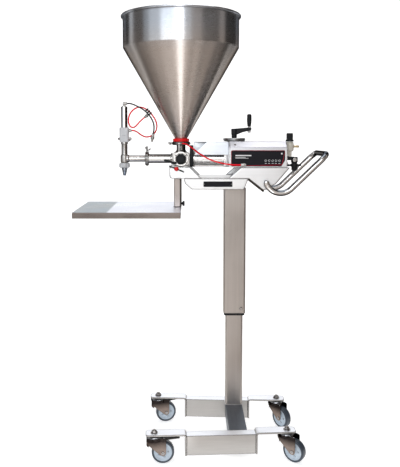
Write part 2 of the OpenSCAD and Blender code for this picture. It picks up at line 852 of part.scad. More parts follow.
// Air cylinder in the cabinet: a barrel with both heads, on two feet
barrel_foot_l = 16;
barrel_foot_inset = 6;
barrel_seat = 1;
barrel_foot_share = 0.7;
barrel_rise_share = 0.8;
module air_cylinder() {
    foot_z = deck_z + cabinet_wall;
    foot_half = barrel_r * barrel_foot_share;
    foot_top = spout_z - barrel_r * barrel_rise_share;
    color("darkgray") on_head() {
        translate([0, 0, spout_z]) difference() {
            rod_x(barrel_x, barrel_end, barrel_r);
            rod_x(barrel_x + barrel_head_t, barrel_end - barrel_head_t, barrel_bore_r);
            rod_x(barrel_x - over, barrel_x + barrel_head_t + over, rod_r + running);
        }
        difference() {
            for (x = [barrel_x + barrel_foot_inset, barrel_end - barrel_foot_l - barrel_foot_inset])
                translate([x, -foot_half, foot_z])
                    cube([barrel_foot_l, 2 * foot_half, foot_top - foot_z]);
            translate([0, 0, spout_z]) rod_x(barrel_x, barrel_end, barrel_r - barrel_seat);
        }
    }
}

// Product cylinder: an open tube with a square flange against the cabinet
flange_corner_r = 6;
module product_cylinder() {
    color("silver") on_head() translate([0, 0, spout_z]) difference() {
        union() {
            rod_x(cylinder_x, flange_x + over, product_bore / 2 + cylinder_wall);
            along_x(flange_x, cabinet_x)
                round_rect(flange_side, flange_side, flange_corner_r);
        }
        rod_x(cylinder_x - over, flange_x, product_bore / 2);
        rod_x(flange_x - over, cabinet_x + over, rod_r + running);
    }
}

// Guard: a folded cover over the product cylinder, cut back at the front
guard_cut_x = 109;
guard_cut_low_x = 63;
guard_cut_rise = 31;
guard_front_inset = 1;
guard_corner = 8;
module cylinder_guard() {
    color("lightsteelblue") on_head() {
        plate_y(guard_half_w - guard_t, guard_half_w)
            polygon([[guard_x, guard_bottom], [cabinet_x, guard_bottom],
                [cabinet_x, guard_top], [guard_x, guard_top]]);
        plate_y(-guard_half_w, -guard_half_w + guard_t)
            polygon([[guard_x + guard_front_inset, guard_bottom], [cabinet_x, guard_bottom],
                [cabinet_x, guard_top], [guard_cut_x, guard_top],
                [guard_cut_low_x, spout_z + guard_cut_rise]]);
        translate([0, 0, guard_top - guard_t]) linear_extrude(guard_t)
            polygon([[guard_cut_x, -guard_half_w], [cabinet_x, -guard_half_w],
                [cabinet_x, guard_half_w], [guard_x, guard_half_w],
                [guard_x, guard_half_w - guard_corner]]);
    }
}

// Yoke: a black plastic plate between the valve and the product cylinder
yoke_corner_r = 8;
module valve_yoke() {
    h = yoke_rise + yoke_drop;
    color("black") on_head() difference() {
        along_x(valve_half_w, cylinder_x)
            translate([0, spout_z + (yoke_rise - yoke_drop) / 2])
                round_rect(yoke_w, h, yoke_corner_r);
        translate([0, 0, spout_z])
            rod_x(valve_half_w - over, cylinder_x + over, product_bore / 2);
    }
}

// Valve body: a round-cornered housing on a foot, with ports left, right and up
neck_r = 19;
foot_half_l = 35;
foot_half_w = 30;
neck_flare = 6;
neck_flare_h = 10;
valve_back_t = 5;
module valve_body() {
    color("gainsboro") on_head() difference() {
        union() {
            plate_y(-valve_half_l, valve_half_l) translate([0, spout_z])
                round_rect(2 * valve_half_w, 2 * valve_half_h, valve_corner_r);
            translate([0, 0, spout_z + valve_half_h - over])
                cylinder(r1 = neck_r + neck_flare, r2 = neck_r, h = neck_flare_h);
            translate([0, 0, spout_z]) cylinder(r = neck_r, h = clamp_rise);
            translate([0, 0, clamp_z - ferrule_t]) cylinder(r = ferrule_r, h = ferrule_t);
            translate([-foot_half_w, -foot_half_l, cradle_z + floor_t])
                cube([2 * foot_half_w, 2 * foot_half_l, floor_drop - floor_t - valve_half_h + over]);
        }
        translate([0, 0, spout_z]) {
            rod_y(-valve_half_l - over, valve_half_l - valve_back_t, valve_bore_r);
            cylinder(r = port_r, h = clamp_rise + over);
            rod_x(-valve_half_w - over, valve_half_w + over, port_r);
        }
    }
}

// Clamp that holds the hopper on the valve, with its hinge and wing screw
clamp_groove_r = ferrule_r + face_gap;
clamp_outer_r = 37;
clamp_lip = 5;
clamp_arm_l = 54;
clamp_arm_half_w = 6;
clamp_arm_half_h = 5;
clamp_lug_l = 8;
clamp_seat = 1;
clamp_screw_x = 50;
clamp_screw_half_l = 20;
clamp_wing_x = 56;
clamp_wing_y = 16;
clamp_wing_drop = 2;
clamp_wing_l = 12;
clamp_wing_t = 4;
module hopper_clamp() {
    color("gray") on_head() translate([0, 0, clamp_z]) {
        clamp_ring(clamp_half_h, clamp_groove_r, ferrule_r - clamp_lip, clamp_outer_r,
            ferrule_t + face_gap);
        difference() {
            union() {
                translate([-clamp_arm_l, -clamp_arm_half_w, -clamp_arm_half_h])
                    cube([clamp_arm_l - clamp_groove_r, 2 * clamp_arm_half_w,
                        2 * clamp_arm_half_h]);
                translate([clamp_groove_r, -clamp_arm_half_w, -clamp_arm_half_h])
                    cube([clamp_lug_l, 2 * clamp_arm_half_w, 2 * clamp_arm_half_h]);
                translate([-clamp_screw_x, 0, 0])
                    rod_y(-clamp_screw_half_l, clamp_screw_half_l, screw_r);
                translate([-clamp_wing_x, clamp_wing_y, -clamp_wing_drop])
                    cube([clamp_wing_l, clamp_wing_t, clamp_wing_l]);
            }
            translate([0, 0, -clamp_half_h])
                cylinder(r = clamp_groove_r + clamp_seat, h = 2 * clamp_half_h);
        }
    }
}

// Red collar round the hopper's outlet
module hopper_gasket() {
    color("red") on_head()
        ring_z(clamp_z + clamp_half_h, cone_z, outlet_d / 2 + running, collar_r);
}

// Hopper: outlet tube with its ferrule, cone, band and rolled rim in one spun shell
module hopper() {
    r = hopper_d / 2;
    o = outlet_d / 2;
    skew = hopper_wall / cos(cone_angle);
    color("darkgray") on_head() rotate_extrude($fn = 128) {
        polygon([
            [o - hopper_wall, clamp_z], [ferrule_r, clamp_z], [ferrule_r, clamp_z + ferrule_t],
            [o, clamp_z + ferrule_t], [o, cone_z], [r, band_z], [r, bead_z],
            [r - hopper_wall, bead_z], [r - hopper_wall, band_z + (skew - hopper_wall) / tan(cone_angle)],
            [o - hopper_wall, cone_z + (skew - hopper_wall) / tan(cone_angle)]]);
        translate([rim_r - bead_d / 2, bead_z]) circle(r = bead_d / 2, $fn = 48);
    }
}

// Spout: the wide tube from the valve, and the clamp that holds the nozzle's branch to it
spout_ferrule_r = 24;
spout_ferrule_t = 5;
spout_wall = 2.5;
module spout_tube() {
    color("silver") on_head() translate([0, 0, spout_z]) difference() {
        union() {
            rod_x(spout_joint_x, -valve_half_w, spout_d / 2);
            rod_x(spout_joint_x, spout_joint_x + spout_ferrule_t, spout_ferrule_r);
            rod_x(-valve_half_w - spout_ferrule_t, -valve_half_w, spout_ferrule_r);
        }
        rod_x(spout_joint_x - over, -valve_half_w + over, spout_d / 2 - spout_wall);
    }
}
spout_clamp_r = 28;
spout_clamp_half = 7.5;
spout_clamp_lip = 3;
spout_clamp_seat = 1;
spout_hinge_inset = 4;
spout_hinge_l = 9;
spout_hinge_h = 5;
spout_hinge_half_w = 6;
wing_post_inset = 4;
wing_post_r = 3.5;
wing_post_h = 26;
wing_base_half_l = 7;
wing_base_half_w = 5;
wing_base_h = 5;
wing_half_t = 2;
wing_span = 10;
wing_share = [[-0.9, 1.6], [0.1, 1.6], [0.8, 0.8], [1, 1.2], [0.2, 2.8], [-0.9, 2.9]];
module spout_clamp() {
    post_foot = spout_clamp_r - spout_clamp_seat;
    color("dimgray") on_head() translate([spout_joint_x, 0, spout_z]) {
        rotate([0, 90, 0]) clamp_ring(spout_clamp_half, spout_ferrule_r + face_gap,
            spout_ferrule_r - spout_clamp_lip, spout_clamp_r, spout_ferrule_t + face_gap);
        translate([-spout_hinge_inset, -spout_hinge_half_w, -spout_clamp_r - spout_hinge_inset])
            cube([spout_hinge_l, 2 * spout_hinge_half_w, spout_hinge_h]);
        translate([-wing_post_inset, 0, post_foot]) cylinder(r = wing_post_r, h = wing_post_h);
        translate([-wing_base_half_l, -wing_base_half_w, post_foot])
            cube([2 * wing_base_half_l, 2 * wing_base_half_w, wing_base_h]);
        plate_y(-wing_half_t, wing_half_t)
            polygon([for (p = wing_share) [p[0] * wing_span, post_foot + p[1] * wing_span]]);
    }
}

// Nozzle body: the upright tube with its branch, and the nut that holds the tip
thread_r = 16;
thread_h = 14;
nut_floor = 2;
top_flange = 2;
top_flange_h = 8;
branch_boss = 3;
branch_boss_l = 4;
module nozzle_body() {
    top = block_z;
    color("silver") on_head() difference() {
        union() {
            translate([-nozzle_reach, 0, neck_z]) cylinder(r = tube_r, h = top - neck_z);
            translate([-nozzle_reach, 0, neck_z]) cylinder(r = thread_r, h = thread_h);
            translate([-nozzle_reach, 0, top - top_flange_h])
                cylinder(r = tube_r + top_flange, h = top_flange_h);
            translate([0, 0, spout_z]) {
                rod_x(-nozzle_reach, spout_joint_x, branch_d / 2);
                rod_x(-nozzle_reach, -nozzle_reach + tube_r + branch_boss_l,
                    branch_d / 2 + branch_boss);
                rod_x(spout_joint_x - spout_ferrule_t, spout_joint_x, spout_ferrule_r);
            }
        }
        translate([-nozzle_reach, 0, neck_z - over])
            cylinder(r = tube_bore_r, h = top - neck_z + 2 * over);
        translate([0, 0, spout_z])
            rod_x(-nozzle_reach, spout_joint_x + over, branch_d / 2 - spout_wall);
    }
}
tip_nut_h = 20;
nut_edge = 1.5;
nut_edge_h = 2;
nut_band_h = 15;
nut_mouth_gap = 0.6;
nut_scallop = 2;
nut_scallop_r = 5;
module nozzle_nut() {
    bottom = neck_z - tip_flange_t - nut_floor;
    color("whitesmoke") on_head() translate([-nozzle_reach, 0, 0]) difference() {
        union() {
            translate([0, 0, bottom]) cylinder(r = nut_r - nut_edge, h = tip_nut_h);
            translate([0, 0, bottom + nut_edge_h]) cylinder(r = nut_r, h = nut_band_h);
        }
        translate([0, 0, bottom - over])
            cylinder(r = tube_r + nut_mouth_gap, h = tip_nut_h + 2 * over);
        translate([0, 0, bottom + nut_floor])
            cylinder(r = thread_r + running, h = tip_nut_h);
        for (k = [0 : 5]) rotate([0, 0, 60 * k + 30])
            translate([nut_r + nut_scallop, 0, bottom - over])
                cylinder(r = nut_scallop_r, h = tip_nut_h + 2 * over);
    }
}
tip_lip = 2;
tip_taper = 32;
tip_funnel = 24;
module nozzle_tip() {
    mouth = tip_bottom + tip_mouth_l;
    color("peru") on_head() translate([-nozzle_reach, 0, 0]) rotate_extrude() polygon([
        [outlet_bore / 2, tip_bottom], [outlet_bore / 2 + tip_lip, tip_bottom],
        [tube_r, tip_bottom + tip_taper], [tube_r, neck_z - tip_flange_t],
        [thread_r, neck_z - tip_flange_t], [thread_r, neck_z], [tube_bore_r, neck_z],
        [tube_bore_r, mouth + tip_funnel], [outlet_bore / 2, mouth]]);
}

// Cut-off actuator: the block on the nozzle body, and the barrel of its little air cylinder
block_corner_r = 8;
block_pin_y = 9;
block_pin_rise = 14;
block_pin_left = 4;
block_pin_right = 6;
block_knob_r = 5;
block_knob_start = 2;
block_knob_end = 11;
block_plug_rise = 8;
block_plug_lap = 2;
block_plug_end = 4;
module actuator_block() {
    side = block_w / 2;
    color("gainsboro") on_head() translate([-nozzle_reach, 0, 0]) difference() {
        union() {
            translate([0, 0, block_z]) linear_extrude(block_h)
                round_rect(block_w, block_d, block_corner_r);
            translate([0, -block_pin_y, block_z + block_pin_rise]) {
                rod_x(-side - block_pin_left, side + block_pin_right, screw_r);
                rod_x(side + block_knob_start, side + block_knob_end, block_knob_r);
            }
            translate([0, block_pin_y, block_z + block_plug_rise])
                rod_x(side - block_plug_lap, side + block_plug_end, block_knob_r);
        }
        translate([0, 0, block_z - over]) cylinder(r = stem_r + running, h = block_h + 2 * over);
    }
}
actuator_cap_h = 4;
actuator_cap = 3;
actuator_end_t = 8;
module actuator_cylinder() {
    color("silver") on_head() translate([-nozzle_reach, 0, actuator_z]) difference() {
        union() {
            cylinder(r = actuator_r, h = actuator_h - actuator_cap_h);
            cylinder(r = actuator_r - actuator_cap, h = actuator_h);
        }
        translate([0, 0, -over])
            cylinder(r = actuator_bore_r, h = actuator_h - actuator_end_t + over);
    }
}

// Push-in fittings of the three hoses, and the elbow on the panel
fitting_r = 6;
exhaust_r = 5;
exhaust_h = 10;
clamp_fitting_x = 8;
clamp_elbow_x = 13;
panel_elbow_l = 22;
panel_elbow_x = 16;
panel_elbow_r = 4;
module hose_fittings() {
    color("silver") on_head() {
        translate([-nozzle_reach, 0, 0]) {
            translate([0, 0, actuator_z + actuator_h]) cylinder(r = exhaust_r, h = exhaust_h);
            translate([0, 0, spout_z + black_route[0][2]])
                rod_x(-fitting_r, black_route[0][0], fitting_r);
            translate([0, 0, spout_z + red_route[0][2]])
                rod_x(block_w / 2, red_route[0][0], fitting_r);
        }
        translate([-clamp_fitting_x, low_route[0][1], spout_z + valve_half_h])
            cylinder(r = screw_r, h = low_route[0][2] - valve_half_h);
        translate([0, low_route[0][1], spout_z + low_route[0][2]])
            rod_x(-clamp_elbow_x, low_route[0][0], connector_r);
        translate([connector_x, connector_y, connector_z]) {
            rod_x(0, panel_elbow_l, connector_r);
            translate([panel_elbow_x, 0, 0])
                rod_y(0, -cabinet_w / 2 - panel_t - connector_y, panel_elbow_r);
        }
    }
}

// Dial plate under the crank
module dial_plate() {
    color("gray") on_head() translate([crank_x, 0, 0])
        ring_z(dial_z, dial_z + dial_t, crank_shaft_r + running, dial_r);
}

// Air unit on the cabinet's end: bracket, regulator, inlet and shut-off valve
inlet_r = 5;
inlet_bore_r = 3.1;
inlet_l = 12;
inlet_rise = 52;
inlet_reach = 65;
inlet_end = cabinet_end + inlet_reach;
bracket_half_w = 14;
bracket_rise = 20;
bracket_h = 30;
air_foot = 6;
air_body_h = 28;
air_cap = 5;
air_cap_h = 8;
spindle_r = 4;
spindle_h = 64;
air_leg_half = 8;
air_leg_rise = 6;
air_leg_lap = 2;
air_arm_half_w = 9;
air_arm_back = 6;
air_arm_drop = 7;
air_arm_h = 15;
shutoff_r = 12.5;
shutoff_top = 8;
shutoff_bottom = 48;
shutoff_cone_r = 5;
shutoff_cone_h = 6;
shutoff_band = 2;
shutoff_band_drop = 15;
shutoff_band_h = 22;
shutoff_ring_h = 11;
module air_unit() {
    color("beige") on_head() difference() {
        union() {
            translate([cabinet_end, -bracket_half_w, spout_z + bracket_rise])
                cube([air_reach, 2 * bracket_half_w, bracket_h]);
            translate([air_x, 0, air_z - air_foot])
                cylinder(r = air_r, h = air_body_h + air_foot);
            translate([air_x, 0, air_z + air_body_h])
                cylinder(r1 = air_r, r2 = air_r - air_cap, h = air_cap_h);
            translate([air_x, 0, air_z]) cylinder(r = spindle_r, h = spindle_h);
            translate([air_x - air_leg_half, -air_leg_half, spout_z + air_leg_rise])
                cube([2 * air_leg_half, 2 * air_leg_half, air_rise - air_leg_rise - air_leg_lap]);
            translate([air_x - air_arm_back, -air_arm_half_w, spout_z - air_arm_drop])
                cube([valve_axis_x - air_x + air_arm_back, 2 * air_arm_half_w, air_arm_h]);
            translate([valve_axis_x, 0, spout_z - shutoff_bottom])
                cylinder(r = shutoff_r, h = shutoff_bottom + shutoff_top);
            translate([valve_axis_x, 0, spout_z - shutoff_bottom - shutoff_cone_h])
                cylinder(r1 = shutoff_cone_r, r2 = shutoff_r, h = shutoff_cone_h);
            translate([valve_axis_x, 0, spout_z - shutoff_band_drop])
                cylinder(r = shutoff_r + shutoff_band, h = shutoff_band_h);
            translate([0, 0, spout_z + inlet_rise]) rod_x(air_x, inlet_end, inlet_r);
        }
        translate([0, 0, spout_z + inlet_rise])
            rod_x(inlet_end - inlet_l, inlet_end + over, inlet_bore_r);
    }
}
air_knob_r = 14;
air_knob_flare = 4;
air_knob_flare_h = 10;
air_knob_h = 36;
air_knob_bore_h = 30;
module regulator_knob() {
    foot = air_z + air_body_h + air_cap_h + face_gap;
    color("black") on_head() translate([air_x, 0, foot]) difference() {
        union() {
            cylinder(r1 = air_knob_r + air_knob_flare, r2 = air_knob_r, h = air_knob_flare_h);
            cylinder(r = air_knob_r, h = air_knob_h);
        }
        translate([0, 0, -over])
            cylinder(r = spindle_r + running, h = air_knob_bore_h + over);
    }
}
shutoff_ring_t = 4.5;
shutoff_left = 30;
shutoff_right = 31;
module shutoff_handle() {
    ring_r = shutoff_r + shutoff_ring_t;
    color("black") on_head() translate([valve_axis_x, 0, shutoff_z]) difference() {
        union() {
            translate([0, 0, -shutoff_ring_h / 2]) cylinder(r = ring_r, h = shutoff_ring_h);
            rod_x(-shutoff_left, shutoff_right, shutoff_ring_h / 2);
        }
        translate([0, 0, -shutoff_ring_h]) cylinder(r = shutoff_r + running, h = 2 * shutoff_ring_h);
    }
}

// Shelf post under the cradle, and the shelf with its stub that slides in the post
post_gap = 2;
post_z = shelf_z + post_gap;
post_corner_r = 4;
post_bore_corner_r = 2;
stub_gap = 0.2;
stub_w = post_w - 2 * post_wall - 2 * stub_gap;
stub_l = 116;
knob_rise = 12;
pad_t = 1.5;
pad_edge = 2;
pad_half = post_w / 2 + pad_edge;
module shelf_post() {
    color("rosybrown") on_head() translate([post_x, 0, 0]) difference() {
        translate([0, 0, post_z]) linear_extrude(cradle_z - post_z) difference() {
            round_rect(post_w, post_w, post_corner_r);
            round_rect(post_w - 2 * post_wall, post_w - 2 * post_wall, post_bore_corner_r);
        }
        translate([0, 0, post_z + knob_rise])
            rod_x(post_w / 2 - post_wall - over, post_w / 2 + over, screw_r + running);
    }
}
module shelf() {
    color("lightsteelblue") on_head() {
        translate([shelf_right - shelf_l, -shelf_w / 2, shelf_z - shelf_skirt]) difference() {
            cube([shelf_l, shelf_w, shelf_skirt]);
            translate([shelf_wall, shelf_wall, -over])
                cube([shelf_l - 2 * shelf_wall, shelf_w - 2 * shelf_wall,
                    shelf_skirt - shelf_wall + over]);
        }
        translate([post_x, 0, shelf_z - over]) linear_extrude(stub_l + over)
            round_rect(stub_w, stub_w, post_bore_corner_r);
        translate([post_x - pad_half, -pad_half, shelf_z - over])
            cube([shelf_right - post_x + pad_half, 2 * pad_half, pad_t + over]);
    }
}
knob_tip_gap = 0.1;
knob_lap = 4;
knob_reach = 13;
knob_disc_r = 11;
module shelf_knob() {
    inner = post_w / 2 - post_wall + knob_tip_gap;
    color("dimgray") on_head() translate([post_x, 0, post_z + knob_rise]) {
        rod_x(inner, post_w / 2 + knob_lap, screw_r);
        rod_x(post_w / 2 + face_gap, post_w / 2 + knob_reach, knob_disc_r);
    }
}

// Moving pieces inside: both pistons on one rod, the valve's spool and its knob
seal_t = 3;
seal_inset = 1;
module seal_ring(x, grow) {
    r = product_bore / 2 - running;
    difference() {
        rod_x(x - grow, x + seal_t + grow, r + (grow > 0 ? over : 0));
        rod_x(x - over, x + seal_t + over, r - seal_t - grow);
    }
}
module piston_rod() {
    seals = [piston_x + seal_t + seal_inset,
        piston_x + piston_t - 2 * seal_t - seal_inset];
    color("ivory") on_head() translate([0, 0, spout_z]) {
        difference() {
            union() {
                rod_x(piston_x, piston_x + piston_t, product_bore / 2 - running);
                rod_x(piston_x, air_piston_x + over, rod_r);
                rod_x(collar_x, collar_x + rod_collar_t, rod_collar_r);
                rod_x(air_piston_x, air_piston_x + air_piston_t, barrel_bore_r - running);
            }
            for (x = seals) seal_ring(x, running);
        }
        for (x = seals) seal_ring(x, 0);
    }
}
spindle_l = 22;
spool_slot_share = 0.2;
module valve_spool() {
    slot = port_r;
    slot_top = port_r * spool_slot_share;
    color("silver") on_head() translate([0, 0, spout_z]) difference() {
        union() {
            rod_y(-valve_half_l, valve_half_l - valve_back_t - face_gap,
                valve_bore_r - running);
            rod_y(-valve_half_l - spindle_l, -valve_half_l, rod_r);
        }
        translate([-valve_bore_r - over, -slot, -valve_bore_r - over])
            cube([2 * valve_bore_r + 2 * over, 2 * slot, valve_bore_r + over + slot_top]);
    }
}
knob_r = 23;
knob_h = 20;
knob_cap_l = 26;
knob_cap_start = 10;
knob_cap_step = 6;
module valve_knob() {
    color("black") on_head() translate([0, 0, spout_z]) difference() {
        union() {
            translate([0, -valve_half_l - face_gap, 0]) rotate([90, 22.5, 0])
                cylinder(r = knob_r, h = knob_h, $fn = 8);
            rod_y(-valve_half_l - knob_cap_l, -valve_half_l - knob_cap_start,
                knob_r - knob_cap_step);
        }
        rod_y(-valve_half_l - spindle_l - running, -valve_half_l + over, rod_r + running);
    }
}

// Crank: arm, shaft and pinion in one, with the grip turning on its pin
function tooth_corner(k, share, r) = [r * cos(360 * (k + share) / gear_teeth),
    r * sin(360 * (k + share) / gear_teeth)];
gear_root_share = 1.25;
tooth_root_share = 0.30;
tooth_pitch_share = 0.21;
tooth_tip_share = 0.08;
rack_tip_share = 0.12;
module pinion_outline() {
    root = gear_r - gear_root_share * gear_module;
    tip = gear_r + gear_module;
    polygon([for (k = [0 : gear_teeth - 1]) each [
        tooth_corner(k, -tooth_root_share, root), tooth_corner(k, -tooth_pitch_share, gear_r),
        tooth_corner(k, -tooth_tip_share, tip), tooth_corner(k, tooth_tip_share, tip),
        tooth_corner(k, tooth_pitch_share, gear_r), tooth_corner(k, tooth_root_share, root)]]);
}
hub_r = 13;
hub_h = 37;
arm_t = 14;
crank_foot = dial_z + dial_t + face_gap;
grip_rise = 50;
grip_z = crank_foot + grip_rise;
hub_lap = 4;
arm_rise = 5;
arm_tip_rise = 6;
arm_tip_drop = 9;
arm_knee_drop = 14;
arm_root_drop = 22;
arm_tip = 8;
arm_rise_share = 0.75;
arm_knee_share = 0.5;
arm_root_share = 0.9;
grip_pin_r = 6;
grip_pin_lap = 4;
module crank() {
    hub_top = crank_foot + hub_h;
    color("black") on_head() translate([crank_x, 0, 0]) {
        translate([0, 0, gear_z])
            cylinder(r = crank_shaft_r, h = crank_foot - gear_z + hub_lap);
        translate([0, 0, gear_z]) linear_extrude(gear_t)
            rotate([0, 0, 180 / gear_teeth]) pinion_outline();
        translate([0, 0, crank_foot]) cylinder(r = hub_r, h = hub_h);
        plate_y(-arm_t / 2, arm_t / 2) polygon([
            [0, hub_top], [crank_reach * arm_rise_share, hub_top + arm_rise],
            [crank_reach + arm_tip, hub_top + arm_tip_rise],
            [crank_reach + arm_tip, hub_top - arm_tip_drop],
            [crank_reach * arm_knee_share, hub_top - arm_knee_drop],
            [hub_r * arm_root_share, hub_top - arm_root_drop], [0, hub_top - arm_root_drop]]);
        translate([crank_reach, 0, hub_top])
            cylinder(r = stem_r, h = grip_z + grip_l - grip_pin_lap - hub_top);
        translate([crank_reach, 0, hub_top])
            cylinder(r = grip_pin_r, h = grip_z - face_gap - hub_top);
    }
}
grip_foot_r = 8;
grip_r = 10;
grip_flare_share = 0.4;
grip_end_t = 3;
module crank_grip() {
    flare = grip_l * grip_flare_share;
    color("black") on_head() translate([crank_x + crank_reach, 0, grip_z]) difference() {
        union() {
            cylinder(r1 = grip_foot_r, r2 = grip_r, h = flare);
            translate([0, 0, flare]) cylinder(r = grip_r, h = grip_l - flare);
        }
        translate([0, 0, -over])
            cylinder(r = stem_r + running, h = grip_l - grip_end_t + over);
    }
}

// Stroke stop: a rack that the pinion shifts, with a finger across the piston rod
rack_start = 15;
rack_x = crank_x - rack_start;
rack_lap = 2;
finger_drop = 14;
finger_gap = 0.5;
module rack_outline() {
    pitch = PI * gear_module;
    root = gear_r + gear_root_share * gear_module;
    tip = gear_r - gear_module;
    back = root + rack_depth - rack_lap;
    last = stop_x + stop_t;
    count = floor((last - crank_x) / pitch);
    polygon(concat(
        [[rack_x, back], [rack_x, root]],
        [for (k = [-2 : count - 1]) each [
            [crank_x + (k - tooth_root_share) * pitch, root],
            [crank_x + (k - rack_tip_share) * pitch, tip],
            [crank_x + (k + rack_tip_share) * pitch, tip],
            [crank_x + (k + tooth_root_share) * pitch, root]]],
        [[last, root], [last, back]]));
}
module stroke_stop() {
    root = gear_r + gear_root_share * gear_module;
    back = root + rack_depth - rack_lap;
    foot = spout_z - finger_drop;
    slot = rod_r + finger_gap;
    color("darkgray") on_head() {
        translate([0, 0, gear_z]) linear_extrude(gear_t) rack_outline();
        translate([stop_x, root, foot]) cube([stop_t, back - root, gear_z + gear_t - foot]);
        difference() {
            translate([stop_x, -back, foot])
                cube([stop_t, 2 * back, gear_z - rack_lap - foot]);
            translate([0, 0, spout_z]) rod_x(stop_x - over, stop_x + stop_t + over, slot);
            translate([stop_x - over, -slot, foot - over])
                cube([stop_t + 2 * over, 2 * slot, spout_z - foot + over]);
        }
    }
}

// Cut-off stem: its piston in the actuator, the rod, and the plug that closes the tip
plug_low = 2;
plug_high = 12;
stem_piston_z = 4;
stem_piston_t = 8;
stem_lap = 10;
module cutoff_stem() {
    mouth = tip_bottom + tip_mouth_l;
    slope = (tube_bore_r - outlet_bore / 2) / tip_funnel;
    color("silver") on_head() translate([-nozzle_reach, 0, 0]) {
        translate([0, 0, mouth + plug_high])
            cylinder(r = stem_r, h = actuator_z + stem_lap - mouth - plug_high);
        translate([0, 0, mouth + plug_low]) cylinder(
            r1 = outlet_bore / 2 + plug_low * slope - face_gap,
            r2 = outlet_bore / 2 + plug_high * slope - face_gap, h = plug_high - plug_low);
        translate([0, 0, actuator_z + stem_piston_z])
            cylinder(r = actuator_bore_r - running, h = stem_piston_t);
    }
}

// Clamp screw with its cross bar and ball, and the lever at the valve's corner
tee_out = 12;
tee_half_l = 33;
tee_bar_r = 3.5;
tee_ball_r = 9;
tee_flat = 8.8;
module clamp_screw() {
    front = -cradle_w / 2;
    color("dimgray") on_head() translate([tee_x, 0, tee_z]) {
        rod_y(front - tee_out, -foot_half_l - face_gap, screw_r);
        translate([0, front - tee_out, 0]) rotate([0, tee_tilt, 0]) {
            rod_x(-tee_half_l, tee_half_l, tee_bar_r);
            rotate([90, 90, 0]) rotate_extrude() intersection() {
                circle(r = tee_ball_r);
                translate([0, -tee_flat]) square([tee_ball_r, 2 * tee_flat]);
            }
        }
    }
}
lever_hub_l = 10;
lever_hub_r = 5;
lever_back = 9;
lever_front = 1;
lever_share = [
    [0, -1.2], [1, -0.6], [1, 0.6], [-1.6, 1.2], [-5.2, 2.8], [-9.2, 3], [-9.6, 2.4],
    [-9.2, 1.4], [-5.6, 1], [-2, -0.6]];
module lock_lever() {
    front = -valve_half_l - face_gap;
    color("black") on_head() translate([lever_x, 0, lever_z]) {
        rod_y(front - lever_hub_l, front, lever_hub_r);
        plate_y(front - lever_back, front - lever_front) polygon(lever_hub_r * lever_share);
    }
}

// Air hoses, and the quick connectors on the free ends of two of them
module on_nozzle() {
    on_head() translate([-nozzle_reach, 0, spout_z]) children();
}
module black_hose() {
    color("black") on_nozzle() hose_tube(black_route, hose_d, hose_sides);
}
module red_hose() {
    color("red") on_nozzle() hose_tube(red_route, hose_d, hose_sides);
}
module valve_hose() {
    color("red") on_head() translate([0, 0, spout_z]) hose_tube(low_route, hose_d, hose_sides);
}
connector_neck_share = 0.75;
connector_tip_share = 0.6;
black_connector = [8, 36];
red_connector = [7, 22];
module connector(route, r, l) {
    last = len(route) - 1;
    way = route_heading(route, last);
    translate(route[last]) rotate([0, acos(way[2]), atan2(way[1], way[0])]) {
        cylinder(r = r * connector_neck_share, h = l / 2);
        translate([0, 0, l / 3]) cylinder(r = r, h = l / 3);
        cylinder(r = r * connector_tip_share, h = l);
    }
}
module hose_connectors() {
    color("silver") on_nozzle() {
        connector(black_route, black_connector[0], black_connector[1]);
        connector(red_route, red_connector[0], red_connector[1]);
    }
}

base_beams();
cross_beam();
caster_bolts();
inner_column();
caster_fork(0);  // caster_fork_fl
caster_fork(1);  // caster_fork_fr
caster_fork(2);  // caster_fork_rl
caster_fork(3);  // caster_fork_rr
caster_wheel(0);  // caster_wheel_fl
caster_wheel(1);  // caster_wheel_fr
caster_wheel(2);  // caster_wheel_rl
caster_wheel(3);  // caster_wheel_rr
brake_pedal(0);  // brake_pedal_fl
brake_pedal(2);  // brake_pedal_rl
outer_column();
column_glides();
pedestal();
cradle();
push_handle();
frame_screws();
cabinet_shell();
control_panel();
air_cylinder();
product_cylinder();
cylinder_guard();
valve_yoke();
valve_body();
hopper_clamp();
hopper_gasket();
hopper();
spout_tube();
spout_clamp();
nozzle_body();
nozzle_nut();
nozzle_tip();
actuator_cylinder();
actuator_block();
hose_fittings();
dial_plate();
air_unit();
shelf_post();
shelf();
shelf_knob();
piston_rod();
valve_spool();
valve_knob();
crank();
crank_grip();
stroke_stop();
cutoff_stem();
regulator_knob();
shutoff_handle();
clamp_screw();
lock_lever();
black_hose();
red_hose();
valve_hose();
hose_connectors();
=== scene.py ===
"""Looks of the doughnut filling machine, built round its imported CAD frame.

Lengths are millimetres in the head's own frame (hopper axis at X = Y = 0, floor at Z = 0) and
become metres in the row frame through at(). A profile is a list of (radius, height) points to
turn about an axis, and an outline is a list of two coordinates to extrude.
"""

import math

import bmesh
import bpy
from mathutils import Matrix, Vector


